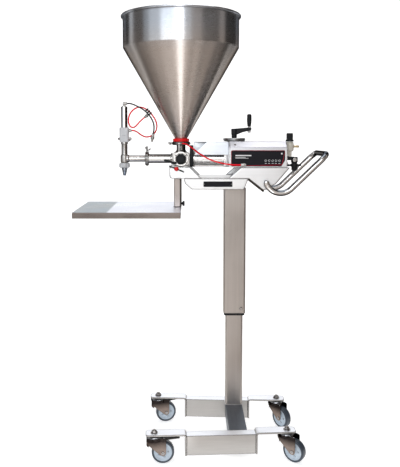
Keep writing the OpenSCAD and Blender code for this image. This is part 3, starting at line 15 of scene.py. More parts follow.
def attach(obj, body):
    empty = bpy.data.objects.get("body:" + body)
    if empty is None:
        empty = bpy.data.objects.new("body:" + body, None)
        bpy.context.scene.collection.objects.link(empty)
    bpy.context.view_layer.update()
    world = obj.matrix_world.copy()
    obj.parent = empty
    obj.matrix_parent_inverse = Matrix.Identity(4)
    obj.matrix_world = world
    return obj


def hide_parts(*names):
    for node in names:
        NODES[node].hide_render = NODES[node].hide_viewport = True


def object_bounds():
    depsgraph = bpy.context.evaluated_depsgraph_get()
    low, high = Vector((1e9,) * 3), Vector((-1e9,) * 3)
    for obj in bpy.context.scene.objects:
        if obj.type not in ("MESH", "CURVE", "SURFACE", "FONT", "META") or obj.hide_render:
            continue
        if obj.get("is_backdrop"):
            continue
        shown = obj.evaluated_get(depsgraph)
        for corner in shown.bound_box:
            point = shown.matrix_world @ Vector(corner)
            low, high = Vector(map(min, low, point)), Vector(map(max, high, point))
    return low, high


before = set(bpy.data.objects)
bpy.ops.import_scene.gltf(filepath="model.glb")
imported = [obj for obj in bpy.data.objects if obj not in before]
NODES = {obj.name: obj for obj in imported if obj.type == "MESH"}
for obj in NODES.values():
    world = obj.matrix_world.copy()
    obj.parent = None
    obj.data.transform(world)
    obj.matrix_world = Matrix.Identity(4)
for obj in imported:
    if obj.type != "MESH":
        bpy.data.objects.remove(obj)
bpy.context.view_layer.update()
scene = bpy.context.scene

MM = 0.001
HEAD_X, HEAD_Y = -90.0, 36.408
BASE_X, BASE_Y = 160.0, -119.0
SPOUT_Z = 1189.0
LINE = (0, 0, SPOUT_Z)
NOZZLE, CRANK = -243.0, 228.0
NOZZLE_FOOT, CRANK_FOOT = (NOZZLE, 0, 0), (CRANK, 0, 0)
# Radius of a profile's points on its axis, just over zero so that every face has an area
AXIS = 0.01


def at(x, y, z):
    """A point given in the head's frame in millimetres, as metres in the row frame."""
    return Vector(((x + HEAD_X) * MM, (y + HEAD_Y) * MM, z * MM))


def polar(r, degrees, x=0.0, z=0.0):
    """The point at a radius and an angle about (x, z)."""
    a = math.radians(degrees)
    return x + r * math.cos(a), z + r * math.sin(a)


def linked(name, data):
    """A new object in the scene."""
    made = bpy.data.objects.new(name, data)
    scene.collection.objects.link(made)
    return made


# ---- camera -------------------------------------------------------------------------------

# Found from the photo: image height, focal length and shift in pixels, tilt below level
IMAGE_H, FOCAL, SHIFT_X, SHIFT_Y = 467, 620, 13, -56
TILT_DOWN = 3.92
camera = linked("camera", bpy.data.cameras.new("camera"))
scene.camera = camera
camera.location = at(25.5, -2665, 1290)
camera.rotation_euler = (math.radians(90 - TILT_DOWN), 0, 0)
camera.data.sensor_width = 36
camera.data.lens = FOCAL / IMAGE_H * 36
camera.data.shift_x = SHIFT_X / IMAGE_H
camera.data.shift_y = SHIFT_Y / IMAGE_H
camera.data.clip_start = 0.05
camera.data.clip_end = 60

# ---- materials ----------------------------------------------------------------------------

M = {}


class Shader:
    """A material with a Principled shader and short helpers for its node graph."""

    def __init__(self, name):
        self.mat = bpy.data.materials.new(name)
        self.mat.use_nodes = True
        self.tree = self.mat.node_tree
        self.bsdf = self.tree.nodes["Principled BSDF"]
        self.coord = self.node("TexCoord").outputs["Object"]

    def plug(self, socket, value):
        """Links a socket's output to an input, or sets a constant on it."""
        if isinstance(value, bpy.types.NodeSocket):
            self.tree.links.new(value, socket)
        else:
            socket.default_value = value

    def node(self, kind, **inputs):
        made = self.tree.nodes.new("ShaderNode" + kind)
        for key, value in inputs.items():
            self.plug(made.inputs[key.replace("_", " ")], value)
        return made

    def set(self, **inputs):
        for key, value in inputs.items():
            self.plug(self.bsdf.inputs[key.replace("_", " ")], value)

    def noise(self, scale, stretch=(1, 1, 1), detail=3.0, rough=0.55):
        place = self.node("Mapping", Vector=self.coord, Scale=stretch).outputs[0]
        return self.node("TexNoise", Vector=place, Scale=scale, Detail=detail,
                         Roughness=rough).outputs["Fac"]

    def ramp(self, value, low, high, out_low=0.0, out_high=1.0):
        return self.node("MapRange", Value=value, From_Min=low, From_Max=high,
                         To_Min=out_low, To_Max=out_high).outputs[0]

    def mix(self, fac, a, b):
        made = self.node("Mix")
        made.data_type = "RGBA"
        for key, value in ((0, fac), (6, a), (7, b)):
            self.plug(made.inputs[key], value)
        return made.outputs[2]

    def add(self, a, b, kind="ADD"):
        made = self.node("Math")
        made.operation = kind
        for k, value in enumerate((a, b)):
            self.plug(made.inputs[k], value)
        return made.outputs[0]

    def times(self, a, b):
        return self.add(a, b, "MULTIPLY")

    def rounded_edges(self, radius):
        """Normals that round the edges, and how far each spot is turned by it (0 to 1)."""
        bevel = self.node("Bevel", Radius=radius)
        bevel.samples = 8
        flat = self.node("NewGeometry").outputs["Normal"]
        dot = self.node("VectorMath")
        dot.operation = "DOT_PRODUCT"
        self.plug(dot.inputs[0], bevel.outputs[0])
        self.plug(dot.inputs[1], flat)
        return bevel.outputs[0], self.ramp(dot.outputs["Value"], 0.78, 0.985, 1.0, 0.0)

    def finish_normal(self, height, distance, strength, normal=None):
        """Bump from a height, over the given normals."""
        bump = self.node("Bump", Height=height, Distance=distance, Strength=strength)
        if normal:
            self.plug(bump.inputs["Normal"], normal)
        self.set(Normal=bump.outputs[0])

    def looks_along(self, axis):
        normal = self.node("NewGeometry").outputs["Normal"]
        return self.node("SeparateXYZ", Vector=normal).outputs[axis]

    def facing(self, low, high):
        """0 where a face looks lower than low, 1 where it looks higher than high (-1 to 1)."""
        return self.ramp(self.looks_along("Z"), low, high)

    def sideways(self, low, high):
        """0 to 1 as a face turns to look along X, either way, by the square of its share."""
        across = self.looks_along("X")
        return self.ramp(self.times(across, across), low, high)

    def place(self, axis, low, high):
        """0 to 1 along an axis of the row frame, between two places in metres."""
        parts = self.node("SeparateXYZ", Vector=self.coord)
        return self.ramp(parts.outputs[axis], low, high)


def rgba(color, gain=1.0):
    return tuple(min(1.0, c * gain) for c in color) + (1.0,)


def steel(name, color, rough, grain, edge=0.0006, aniso=0.0, streak=0.10, line=0.35, smudge=0.12,
          rim=None, painted_top_light=None, top_part=None, painted_reflection_bands=(), painted_light_stretch=None, painted_shade_flanks=None):
    """Stainless steel: fine brushed grain along one axis, cloudy polish, scratches, dark edges.

    tops paints light on what looks up and top_part a mottled tone on a stretch of it, bands paint
    reflections on what looks at some heights, part paints light and shade on a stretch of the piece
    and flanks paints shade on what looks along X. The last three end with a share. The dark edges
    are painted shade, as strong as line.
    """
    s = Shader(name)
    fine = s.noise(1.0, grain, detail=4, rough=0.7)
    broad = s.noise(1.0, tuple(g * 0.22 for g in grain), detail=2)
    cloud = s.noise(5.0, detail=4)
    across = tuple(g * 0.5 + 3 for g in reversed(grain))
    scratch = s.ramp(s.noise(1.0, across, detail=1), 0.70, 0.74)
    tone = s.add(s.ramp(fine, 0.3, 0.7, -streak, streak), s.ramp(broad, 0.3, 0.7, -streak, streak))
    tone = s.add(s.ramp(cloud, 0.3, 0.7, 0.35, 0.65), tone)
    base = s.mix(tone, rgba(color, 0.80), rgba(color, 1.14))
    # Painted light and shade over a stretch of the piece.
    if painted_light_stretch:
        axis, low, high, tone, share = painted_light_stretch
        base = s.mix(s.times(s.place(axis, low, high), share), base, rgba(tone))
    # Painted light on faces that look up.
    if painted_top_light:
        top = rgba(painted_top_light)
        if top_part:
            axis, low, high, tone = top_part
            along = s.place(axis, low, high)
            mottled = s.mix(s.ramp(cloud, 0.35, 0.65), rgba(tone, 0.7), rgba(tone, 1.3))
            top = s.mix(along, top, mottled)
        base = s.mix(s.facing(0.5, 0.9), base, top)
    # Painted reflections on faces that look at given heights.
    for low, high, tone, share in painted_reflection_bands:
        base = s.mix(s.times(s.facing(low, high), share), base, rgba(tone))
    # Painted shade on faces that look along X.
    if painted_shade_flanks:
        low, high, tone, share = painted_shade_flanks
        base = s.mix(s.times(s.sideways(low, high), share), base, rgba(tone))
    normal = None
    if edge:
        normal, turned = s.rounded_edges(edge)
        # Painted shade along the edges, darkest where the rounding turns the normal most.
        base = s.mix(s.times(turned, line), base, rgba(color, 0.06))
    if rim is not None:
        s.set(Specular_Tint=rgba((rim, rim, rim)))
    brushed = s.ramp(fine, 0.25, 0.75, rough * 0.75, rough * 1.25)
    smudged = s.ramp(cloud, 0.35, 0.75, -smudge * rough, smudge * 2 * rough)
    s.set(Base_Color=base, Metallic=1.0,
          Roughness=s.add(s.add(brushed, smudged), s.times(scratch, 0.05)))
    if aniso:
        tangent = s.node("Tangent")
        tangent.direction_type = "RADIAL"
        tangent.axis = "Z"
        s.set(Anisotropic=aniso, Anisotropic_Rotation=0.25, Tangent=tangent.outputs[0])
    s.finish_normal(s.add(fine, s.times(scratch, 0.6)), 0.00004, 0.35, normal)
    M[name] = s.mat


def coated(name, color, rough, speckle=900.0, bump=0.00006, edge=0.0006, wear=None, coat=0.0,
           vary=0.25, line=0.0, shine=0.5):
    """Moulded plastic, rubber or paint: fine texture, soft colour changes, rubbed patches."""
    s = Shader(name)
    pores = s.noise(speckle, detail=3, rough=0.7)
    cloud = s.noise(14.0, detail=4)
    base = s.mix(s.ramp(cloud, 0.3, 0.7), rgba(color, 1 - vary), rgba(color, 1 + vary))
    if wear:
        rubbed = s.ramp(s.noise(60.0, detail=6, rough=0.75), 0.62, 0.70)
        base = s.mix(s.times(rubbed, 0.55), base, rgba(wear))
    normal = None
    if edge:
        normal, turned = s.rounded_edges(edge)
        # Painted shade along the edges, darkest where the rounding turns the normal most.
        if line:
            base = s.mix(s.times(turned, line), base, rgba(color, 0.15))
    s.set(Base_Color=base, Coat_Weight=coat, Specular_IOR_Level=shine,
          Roughness=s.add(s.ramp(pores, 0.3, 0.7, rough * 0.85, rough * 1.15),
                          s.ramp(cloud, 0.35, 0.7, -0.04, 0.08)))
    s.finish_normal(pores, bump, 0.5, normal)
    M[name] = s.mat


ALONG_X, ALONG_Y, ALONG_Z = (14, 700, 700), (700, 14, 700), (700, 700, 14)
ROUND_Z, ROUND_X = (30, 30, 1500), (900, 40, 40)
# The cone's top and the band blend to blue-grey: a painted reflection.
steel("hopper_steel", (0.67, 0.615, 0.575), 0.30, ROUND_Z, aniso=0.85, edge=0.0, streak=0.025,
      rim=0.0, painted_light_stretch=("Z", 1.620, 1.735, (0.55, 0.585, 0.64), 0.80))
steel("hopper_inner", (0.46, 0.43, 0.41), 0.34, ROUND_Z, edge=0.0)
steel("bright_steel", (0.84, 0.84, 0.845), 0.38, ALONG_X, streak=0.05, edge=0.0085, line=1.0)
# From 1.218 m up the cabinet blends to lilac-grey: a painted reflection.
steel("cabinet_steel", (0.84, 0.84, 0.85), 0.36, ALONG_X, streak=0.04, edge=0.0045, line=0.9,
      painted_light_stretch=("Z", 1.218, 1.240, (0.56, 0.56, 0.61), 0.9))
steel("guard_steel", (0.66, 0.69, 0.73), 0.34, ALONG_X, streak=0.07, edge=0.0026, line=0.85)
# Painted light on the shelf's upward faces, turning to a mottled dark tone at its left end.
steel("shelf_steel", (0.25, 0.215, 0.195), 0.32, ALONG_X, streak=0.12, edge=0.0040, line=0.9,
      painted_top_light=(0.74, 0.77, 0.86), top_part=("X", -0.381, -0.391, (0.19, 0.24, 0.28)))
# Right of X = -0.095 m the post turns near black: painted shade.
steel("post_steel", (0.42, 0.37, 0.34), 0.34, ALONG_Z, streak=0.12, edge=0.0030, line=0.9,
      painted_light_stretch=("X", -0.0965, -0.0950, (0.03, 0.024, 0.022), 0.92))
steel("column_steel", (0.47, 0.43, 0.40), 0.38, ALONG_Z, streak=0.10, edge=0.0040, line=0.85)
# Near-white weld rings: a painted highlight line.
steel("weld_highlight_steel", (0.85, 0.85, 0.86), 0.42, (200, 200, 200), streak=0.1)
# Painted light: the beams' upward faces are pale blue-white.
steel("beam_steel", (0.52, 0.50, 0.48), 0.36, ALONG_X, streak=0.10, edge=0.0060, line=1.0,
      painted_top_light=(0.86, 0.88, 0.93))
steel("cross_steel", (0.11, 0.125, 0.15), 0.40, ALONG_Y, streak=0.12, edge=0.0030, line=0.6)
# Painted reflections on the handle: near black facing down, dark slate and pale blue facing up.
steel("handle_steel", (0.86, 0.85, 0.84), 0.10, (60, 60, 60), streak=0.02, edge=0.0, smudge=0.4,
      rim=0.0, painted_reflection_bands=((-0.30, -0.52, (0.012, 0.010, 0.010), 0.97),
                      (0.46, 0.60, (0.06, 0.075, 0.10), 0.92),
                      (0.80, 0.92, (0.62, 0.68, 0.78), 0.9)))
# Painted shade: the barrel turns near black where it faces along X.
steel("barrel_steel", (0.88, 0.88, 0.88), 0.14, ROUND_Z, streak=0.03, edge=0.0, rim=0.0,
      painted_shade_flanks=(0.12, 0.28, (0.012, 0.012, 0.014), 0.96))
# Painted reflections: near black on faces looking down, darker on faces looking up.
steel("line_steel", (0.58, 0.56, 0.54), 0.22, ROUND_X, streak=0.08, edge=0.0016, line=0.85, rim=0.0,
      painted_reflection_bands=((-0.35, -0.75, (0.05, 0.045, 0.045), 0.9), (0.55, 0.75, (0.16, 0.15, 0.15), 0.8)))
steel("cylinder_steel", (0.88, 0.87, 0.86), 0.28, ROUND_X, streak=0.05, edge=0.0016, line=0.8,
      rim=0.1)
steel("turned_steel", (0.48, 0.46, 0.44), 0.18, ROUND_Z, streak=0.08, line=0.8, rim=0.0)
steel("cast_steel", (0.52, 0.50, 0.48), 0.33, (90, 90, 90), streak=0.16, edge=0.0022, line=0.95,
      rim=0.05)
steel("clamp_steel", (0.24, 0.23, 0.22), 0.27, (120, 120, 120), streak=0.18, edge=0.0014, line=0.85,
      rim=0.0)
steel("screw_steel", (0.42, 0.40, 0.39), 0.24, (250, 250, 250), streak=0.12, edge=0.0012, line=0.9,
      rim=0.0)
# The forks blend to near black from 60 mm up (painted shade), with pale upward faces (painted
# highlight).
steel("caster_steel", (0.27, 0.215, 0.185), 0.20, (70, 70, 70), streak=0.30, edge=0.0030,
      smudge=0.6, line=0.95, rim=0.0, painted_top_light=(0.62, 0.64, 0.68),
      painted_light_stretch=("Z", 0.060, 0.092, (0.014, 0.011, 0.011), 0.95))
steel("dial_grey", (0.32, 0.32, 0.32), 0.30, ROUND_Z, streak=0.12, line=0.8)
steel("nozzle_blue", (0.36, 0.41, 0.48), 0.16, ROUND_Z, streak=0.08, rim=0.0)
steel("tail_dark", (0.045, 0.036, 0.030), 0.35, ALONG_Y, streak=0.15)
steel("stop_steel", (0.55, 0.55, 0.56), 0.30, ALONG_X)
steel("inner_aluminium", (0.72, 0.72, 0.73), 0.30, ALONG_X)
steel("brass", (0.62, 0.50, 0.30), 0.30, (300, 60, 60), rim=0.1)
coated("block_white", (0.60, 0.61, 0.63), 0.38, edge=0.0022, vary=0.06, coat=0.2, line=0.8)
coated("black_plastic", (0.010, 0.011, 0.013), 0.50, edge=0.0008, wear=(0.03, 0.03, 0.032),
       vary=0.3, shine=0.25)
coated("black_ridged", (0.012, 0.013, 0.014), 0.50, speckle=500, edge=0.0005,
       wear=(0.04, 0.04, 0.04), shine=0.25)
coated("panel_black", (0.006, 0.006, 0.010), 0.42, bump=0.00001, edge=0.0004, vary=0.12, shine=0.18)
coated("panel_red", (0.50, 0.02, 0.04), 0.40, bump=0.00001, edge=0, vary=0.1, shine=0.2)
coated("panel_white", (0.82, 0.83, 0.84), 0.40, bump=0.00001, edge=0, vary=0.06)
coated("gasket_red", (0.85, 0.012, 0.015), 0.34, bump=0.00003, edge=0.0006, vary=0.12, shine=0.3)
coated("ball_red", (0.72, 0.01, 0.01), 0.14, bump=0.00001, coat=0.3, edge=0, vary=0.08, shine=0.3)
coated("hose_red", (0.88, 0.006, 0.020), 0.34, speckle=300, bump=0.00003, edge=0, vary=0.10,
       shine=0.15)
coated("hose_black", (0.006, 0.007, 0.008), 0.40, speckle=300, bump=0.00003, edge=0, vary=0.2,
       shine=0.15)
coated("wheel_grey", (0.50, 0.58, 0.66), 0.34, speckle=420, bump=0.00008, wear=(0.42, 0.45, 0.48),
       vary=0.16, edge=0.0034, line=0.9)
coated("tyre_grey", (0.045, 0.058, 0.078), 0.30, speckle=420, bump=0.00012, wear=(0.12, 0.12, 0.13),
       vary=0.2)
coated("pedal_black", (0.022, 0.018, 0.016), 0.42, speckle=500, wear=(0.14, 0.12, 0.10), vary=0.25,
       shine=0.3)
coated("air_metal", (0.66, 0.63, 0.56), 0.36, speckle=500, wear=(0.5, 0.45, 0.38), edge=0.0018,
       vary=0.14, coat=0.1, line=0.7)
coated("piston_white", (0.80, 0.79, 0.76), 0.4, vary=0.05)

# ---- mesh helpers -------------------------------------------------------------------------


def shade(mesh, angle):
    for polygon in mesh.polygons:
        polygon.use_smooth = True
    mesh.set_sharp_from_angle(angle=math.radians(angle))


def carried(made, body, cad):
    """Gives a piece its body and the CAD node that it replaces, if any."""
    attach(made, body)
    if cad:
        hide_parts(cad)
    return made


def head_at(x):
    return Matrix.Translation((HEAD_X + x, HEAD_Y, 0))


def piece(name, bm, material, body="head", slot=None, cad=None, angle=35, frame_of=None,
          bevel=0.0, segments=3):
    """An object from a bmesh in millimetres of the head's frame, or of a given matrix."""
    bmesh.ops.remove_doubles(bm, verts=bm.verts, dist=1e-4)
    bmesh.ops.recalc_face_normals(bm, faces=bm.faces)
    mesh = bpy.data.meshes.new(name)
    bm.to_mesh(mesh)
    bm.free()
    matrix = frame_of if frame_of is not None else head_at(0)
    origin = matrix.translation.copy()
    mesh.transform(Matrix.Scale(MM, 4) @ Matrix.Translation(-origin) @ matrix)
    made = linked(name, mesh)
    made.location = origin * MM
    mesh.materials.append(M[material])
    shade(mesh, angle)
    if bevel:
        modifier = made.modifiers.new("edges", "BEVEL")
        modifier.width = bevel * MM
        modifier.segments = segments
        modifier.limit_method = "ANGLE"
        modifier.angle_limit = math.radians(32)
    return carried(made, body, cad)


def softened(points, radius, steps=4, closed=True):
    """An outline with its corners rounded."""
    out = []
    count = len(points)
    for k, here in enumerate(points):
        here = Vector(here)
        if not closed and k in (0, count - 1):
            out.append(here)
            continue
        a, b = Vector(points[k - 1]) - here, Vector(points[(k + 1) % count]) - here
        la, lb = a.length, b.length
        if min(la, lb) < 1e-6:
            out.append(here)
            continue
        a, b = a / la, b / lb
        turn = a.angle(b)
        if turn > math.radians(172):
            out.append(here)
            continue
        cut = min(radius / math.tan(turn / 2), la * 0.48, lb * 0.48)
        start, end = here + a * cut, here + b * cut
        for s in range(steps + 1):
            t = s / steps
            out.append(start * (1 - t) ** 2 + here * 2 * t * (1 - t) + end * t ** 2)
    return out


AXES = {"Z": Matrix.Identity(3), "X": Matrix(((0, 0, 1), (1, 0, 0), (0, 1, 0))),
        "Y": Matrix(((0, 1, 0), (0, 0, 1), (1, 0, 0)))}


def lathe_into(bm, profile, centre, axis="Z", steps=96, closed=True, start=0.0, sweep=360.0):
    """Turns a profile about an axis through centre, given by its letter or its matrix."""
    basis = axis if isinstance(axis, Matrix) else AXES[axis]
    full = sweep >= 360
    rings = []
    for k in range(steps if full else steps + 1):
        a = math.radians(start + sweep * k / steps)
        rings.append([
            bm.verts.new(Vector(centre) + basis @ Vector((r * math.cos(a), r * math.sin(a), z)))
            for r, z in profile])
    count = len(profile)
    for k in range(len(rings) if full else len(rings) - 1):
        one, two = rings[k], rings[(k + 1) % len(rings)]
        for i in range(count if closed else count - 1):
            j = (i + 1) % count
            bm.faces.new((one[i], two[i], two[j], one[j]))
    return bm


def turn_into(bm, profile, centre, axis="Z", steps=96):
    """As lathe_into, for a profile whose two ends both run straight in to the axis."""
    closed = [(AXIS, profile[0][1]), *profile, (AXIS, profile[-1][1])]
    return lathe_into(bm, closed, centre, axis, steps)


def disc_into(bm, r, low, high, centre, axis="Z", steps=32):
    return turn_into(bm, [(r, low), (r, high)], centre, axis, steps)


def lathe(name, profile, centre, material, axis="Z", steps=96, soft=0.0, closed=True, **keys):
    if soft:
        profile = softened(profile, soft, closed=closed)
    bm = lathe_into(bmesh.new(), profile, centre, axis, steps, closed)
    return piece(name, bm, material, **keys)


def bridge(bm, one, two):
    """Closes two rings of vertices into a solid."""
    bm.faces.new(one)
    bm.faces.new(list(reversed(two)))
    for k in range(len(one)):
        j = (k + 1) % len(one)
        bm.faces.new((one[k], two[k], two[j], one[j]))


def prism_into(bm, outline, low, high, plane="XZ"):
    """Extrudes an outline between two depths. XZ outlines go along Y, XY along Z, YZ along X."""
    put = {"XZ": lambda a, b, depth: (a, depth, b), "XY": lambda a, b, depth: (a, b, depth),
           "YZ": lambda a, b, depth: (depth, a, b)}[plane]
    bridge(bm, *([bm.verts.new(put(*p[:2], depth)) for p in outline] for depth in (low, high)))
    return bm


def prism(name, outline, low, high, material, plane="XZ", **keys):
    return piece(name, prism_into(bmesh.new(), outline, low, high, plane), material, **keys)


def block_into(bm, low, high):
    outline = [(low[0], low[1]), (high[0], low[1]), (high[0], high[1]), (low[0], high[1])]
    return prism_into(bm, outline, low[2], high[2], "XY")


def block(name, low, high, material, **keys):
    return piece(name, block_into(bmesh.new(), low, high), material, **keys)


def rounded(w, h, r, cx=0.0, cy=0.0):
    """A rectangle with round corners about (cx, cy)."""
    return [polar(r, first + step, cx + sx * (w / 2 - r), cy + sy * (h / 2 - r))
            for sx, sy, first in ((1, 1, 0), (-1, 1, 90), (-1, -1, 180), (1, -1, 270))
            for step in range(0, 91, 15)]


def neighbours(points):
    """Each point of a closed outline with the next one."""
    return zip(points, points[1:] + points[:1])


def smooth_route(points, steps):
    """Catmull-Rom points through a route."""
    points = [Vector(p) for p in points]
    out = []
    for i in range(len(points) - 1):
        a, b = points[max(i - 1, 0)], points[i]
        c, d = points[i + 1], points[min(i + 2, len(points) - 1)]
        for k in range(steps):
            t = k / steps
            out.append(0.5 * (2 * b + (c - a) * t + (2 * a - 5 * b + 4 * c - d) * t * t
                              + (3 * b - a - 3 * c + d) * t ** 3))
    out.append(points[-1])
    return out


def tube(name, points, radius, material, cad, sides):
    """A round tube along points, as a curve of one open spline."""
    data = bpy.data.curves.new(name, "CURVE")
    data.dimensions = "3D"
    data.bevel_depth = radius * MM
    data.bevel_resolution = sides
    data.use_fill_caps = True
    spline = data.splines.new("POLY")
    spline.points.add(len(points) - 1)
    for target, p in zip(spline.points, points):
        target.co = (*at(*p), 1)
    spline.use_smooth = True
    data.materials.append(M[material])
    return carried(linked(name, data), "head", cad)


# ---- air hoses ----------------------------------------------------------------------------

HOSE_R = 3.0


def route(origin_x, *points):
    """Points taken from the nozzle's or the hopper's axis and the spout's centre line."""
    return [(x + origin_x, y, z + SPOUT_Z) for x, y, z in points]


BLACK_ROUTE = route(
    NOZZLE, (12, 0, 235), (25, 0, 235), (42, -3, 230), (59, -7, 222), (76, -9, 213),
    (93, -10, 200), (109, -11, 183), (121, -10, 163), (127, -8, 143), (127, -5, 124),
    (124, -3, 107))
RED_ROUTE = route(
    NOZZLE, (32, 0, 120), (39, 0, 120), (49, 1, 117), (60, 3, 110), (74, 5, 100), (91, 8, 93),
    (109, 10, 95), (125, 11, 105), (136, 10, 122), (139, 7, 142), (134, 5, 163),
    (122, 4, 183), (106, 4, 202), (87, 3, 215), (67, 3, 220), (47, 0, 214),
    (31, -4, 200), (21, -10, 180), (19, -15, 158), (26, -17, 139), (40, -15, 133),
    (53, -9, 142), (65, -4, 156), (77, 0, 168), (87, 3, 176))
LOW_ROUTE = route(
    0, (4, -44, 65), (11, -44, 65), (21, -47, 63), (32, -54, 57), (44, -65, 49),
    (57, -78, 39), (71, -89, 28), (88, -99, 17), (110, -107, 5), (134, -111, -5),
    (162, -113, -13), (192, -113, -19), (220, -112, -22), (247, -112, -22))
# Shares of a connector's radius and length, from the hose to its free end
CONNECTOR_SHARES = (
    (0.45, 0), (0.62, 0), (0.75, 0.05), (0.75, 0.30), (0.9, 0.34), (1, 0.37), (1, 0.46),
    (0.94, 0.47), (0.94, 0.49), (1, 0.50), (1, 0.64), (0.9, 0.67), (0.60, 0.68), (0.60, 0.92),
    (0.52, 1), (0.3, 1))


def hose_end(name, points, r, length, cad=None):
    """A quick connector in line with a route's end, with twelve grip pips."""
    start, before = Vector(points[-1]), Vector(points[-2])
    basis = (start - before).normalized().to_track_quat("Z", "X").to_matrix()
    profile = [(r * a, length * b) for a, b in CONNECTOR_SHARES]
    bm = lathe_into(bmesh.new(), profile, start, basis, 40)
    for k in range(12):
        x, y = polar(r * 0.94, 30 * k)
        spot = start + basis @ Vector((x, y, length * 0.57))
        disc_into(bm, 0.7, -length * 0.05, length * 0.05, spot, basis, 8)
    return piece(name, bm, "cast_steel", slot="line_steel", cad=cad)


black_end = hose_end("black_hose_end", BLACK_ROUTE, 8, 36, "hose_connectors")
red_end = hose_end("red_hose_end", RED_ROUTE, 7, 22)
for name, node, points, color, cord_end, ends in (
    ("black_air_hose", "black_hose", BLACK_ROUTE, "hose_black", "connector", [black_end]),
    ("red_air_hose", "red_hose", RED_ROUTE, "hose_red", "connector", [red_end]),
    ("valve_air_hose", "valve_hose", LOW_ROUTE, "hose_red", "object", []),
):
    line = smooth_route(points, 6)
    hose = tube(name, line, HOSE_R, color, node, 5)

# ---- hopper -------------------------------------------------------------------------------

HOPPER_R, OUTLET_R, SHEET = 246, 26, 2
INNER_R = HOPPER_R - SHEET
CONE_ANGLE = math.radians(30)
CONE_BASE = 1275.0
CONE_TOP = CONE_BASE + (HOPPER_R - OUTLET_R) / math.tan(CONE_ANGLE)
RIM = CONE_TOP + 130
# How far the inner cone's two ends lie above the outer one's
SHIFT = (SHEET / math.cos(CONE_ANGLE) - SHEET) / math.tan(CONE_ANGLE)


def cone_point(t):
    """The cone's outside, from the outlet at 0 to the band at 1."""
    return OUTLET_R + (HOPPER_R - OUTLET_R) * t, CONE_BASE + (CONE_TOP - CONE_BASE) * t


hopper_wall = (
    [(24, 1254.5), (31.4, 1254.5), (32, 1255.1), (32, 1258.4), (31.4, 1259), (26.6, 1259),
     (26, 1259.6), (26, CONE_BASE)]
    + [cone_point(k / 40) for k in range(1, 39)]
    + softened([(240, CONE_TOP - 10.4), (HOPPER_R, CONE_TOP), (HOPPER_R, CONE_TOP + 10)],
               9, 5, closed=False)
    + [(HOPPER_R, CONE_TOP + 60), (HOPPER_R, RIM - 6)]
    + [polar(5, a, HOPPER_R + 3, RIM) for a in range(-90, 166, 15)]
    + [(INNER_R, RIM - 8), (INNER_R, CONE_TOP + 10)]
    + softened([(INNER_R, CONE_TOP + 8), (INNER_R, CONE_TOP + SHIFT),
                (INNER_R - 5, CONE_TOP + SHIFT - 8.66)], 9, 5, closed=False)
    + [(OUTLET_R - SHEET, CONE_BASE + SHIFT)])
lathe("hopper_shell", hopper_wall, (0, 0, 0), "hopper_steel", steps=256, cad="hopper", angle=60)

# Spun lines round the band's two edges, and the stitched weld up the cone's back
for name, z in (("hopper_spun_line_low", CONE_TOP + 1.5), ("hopper_spun_line_high", RIM - 9)):
    r = HOPPER_R + 0.05
    lathe(name, [(r - 0.4, z - 0.5), (r + 0.25, z), (r - 0.4, z + 0.5)], (0, 0, 0), "hopper_inner",
          steps=192, slot="hopper_steel")
seam = bmesh.new()
for k in range(24):
    (r0, z0), (r1, z1) = cone_point(k / 24), cone_point((k + 0.82) / 24)
    prism_into(seam, [(r0 - 0.8, z0), (r0 + 0.55, z0), (r1 + 0.55, z1), (r1 - 0.8, z1)], -1.1, 1.1)
piece("hopper_weld", seam, "hopper_inner", slot="hopper_steel",
      frame_of=head_at(0) @ Matrix.Rotation(math.radians(115), 4, "Z"))

lathe("outlet_collar", [(26.05, 1262), (34, 1262), (35, 1263), (35.0, 1266.5), (34.2, 1268),
                        (35, 1269.5), (35, 1274), (34, 1275), (26.05, 1275)],
      (0, 0, 0), "gasket_red", soft=0.8, cad="hopper_gasket")

# One ear of a wing nut, in shares of the nut's size
EAR_SHARES = ((0.25, 0.10), (0.75, 0.30), (1.15, 0.95), (1.12, 1.30), (0.92, 1.38), (0.70, 1.20),
              (0.45, 0.62), (0.25, 0.5))


def wing(bm, centre, facing, size, turn):
    """A two-eared wing nut about an axis, added to a bmesh."""
    basis = Vector(facing).to_track_quat("Z", "X").to_matrix() @ Matrix.Rotation(turn, 3, "Z")
    turn_into(bm, [(size * 0.42, 0), (size * 0.34, size * 0.6)], centre, basis, 24)
    for sign in (1, -1):
        outline = softened([(sign * x * size, z * size) for x, z in EAR_SHARES], size * 0.12)
        one, two = ([bm.verts.new(Vector(centre) + basis @ Vector((x, y, z))) for x, z in outline]
                    for y in (-size * 0.11, size * 0.11))
        bridge(bm, one, two)


CLAMP_Z = 1254.5
clamp = lathe_into(bmesh.new(), softened(
    [(27, 1247), (34.5, 1247), (37, 1249.5), (37, 1259.5), (34.5, 1262), (27, 1262),
     (27, 1259.3), (32.3, 1259.3), (32.3, 1249.7), (27, 1249.7)], 0.8), (0, 0, 0))
for arm_outline, soft in (([(-54, -6), (-35, -8), (-35, 8), (-54, 6)], 4),
                          ([(35, -7), (40.3, -6), (40.3, 6), (35, 7)], 2)):
    prism_into(clamp, softened(arm_outline, soft), CLAMP_Z - 5, CLAMP_Z + 5, "XY")
turn_into(clamp, [(3.2, -20), (4, -19), (4, 19), (3.2, 20)], (-50, 0, CLAMP_Z), "Y", 24)
wing(clamp, (-50, -8, CLAMP_Z), (0, -1, 0), 9, math.radians(35))
piece("hopper_clamp_ring", clamp, "clamp_steel", cad="hopper_clamp")

# ---- valve --------------------------------------------------------------------------------

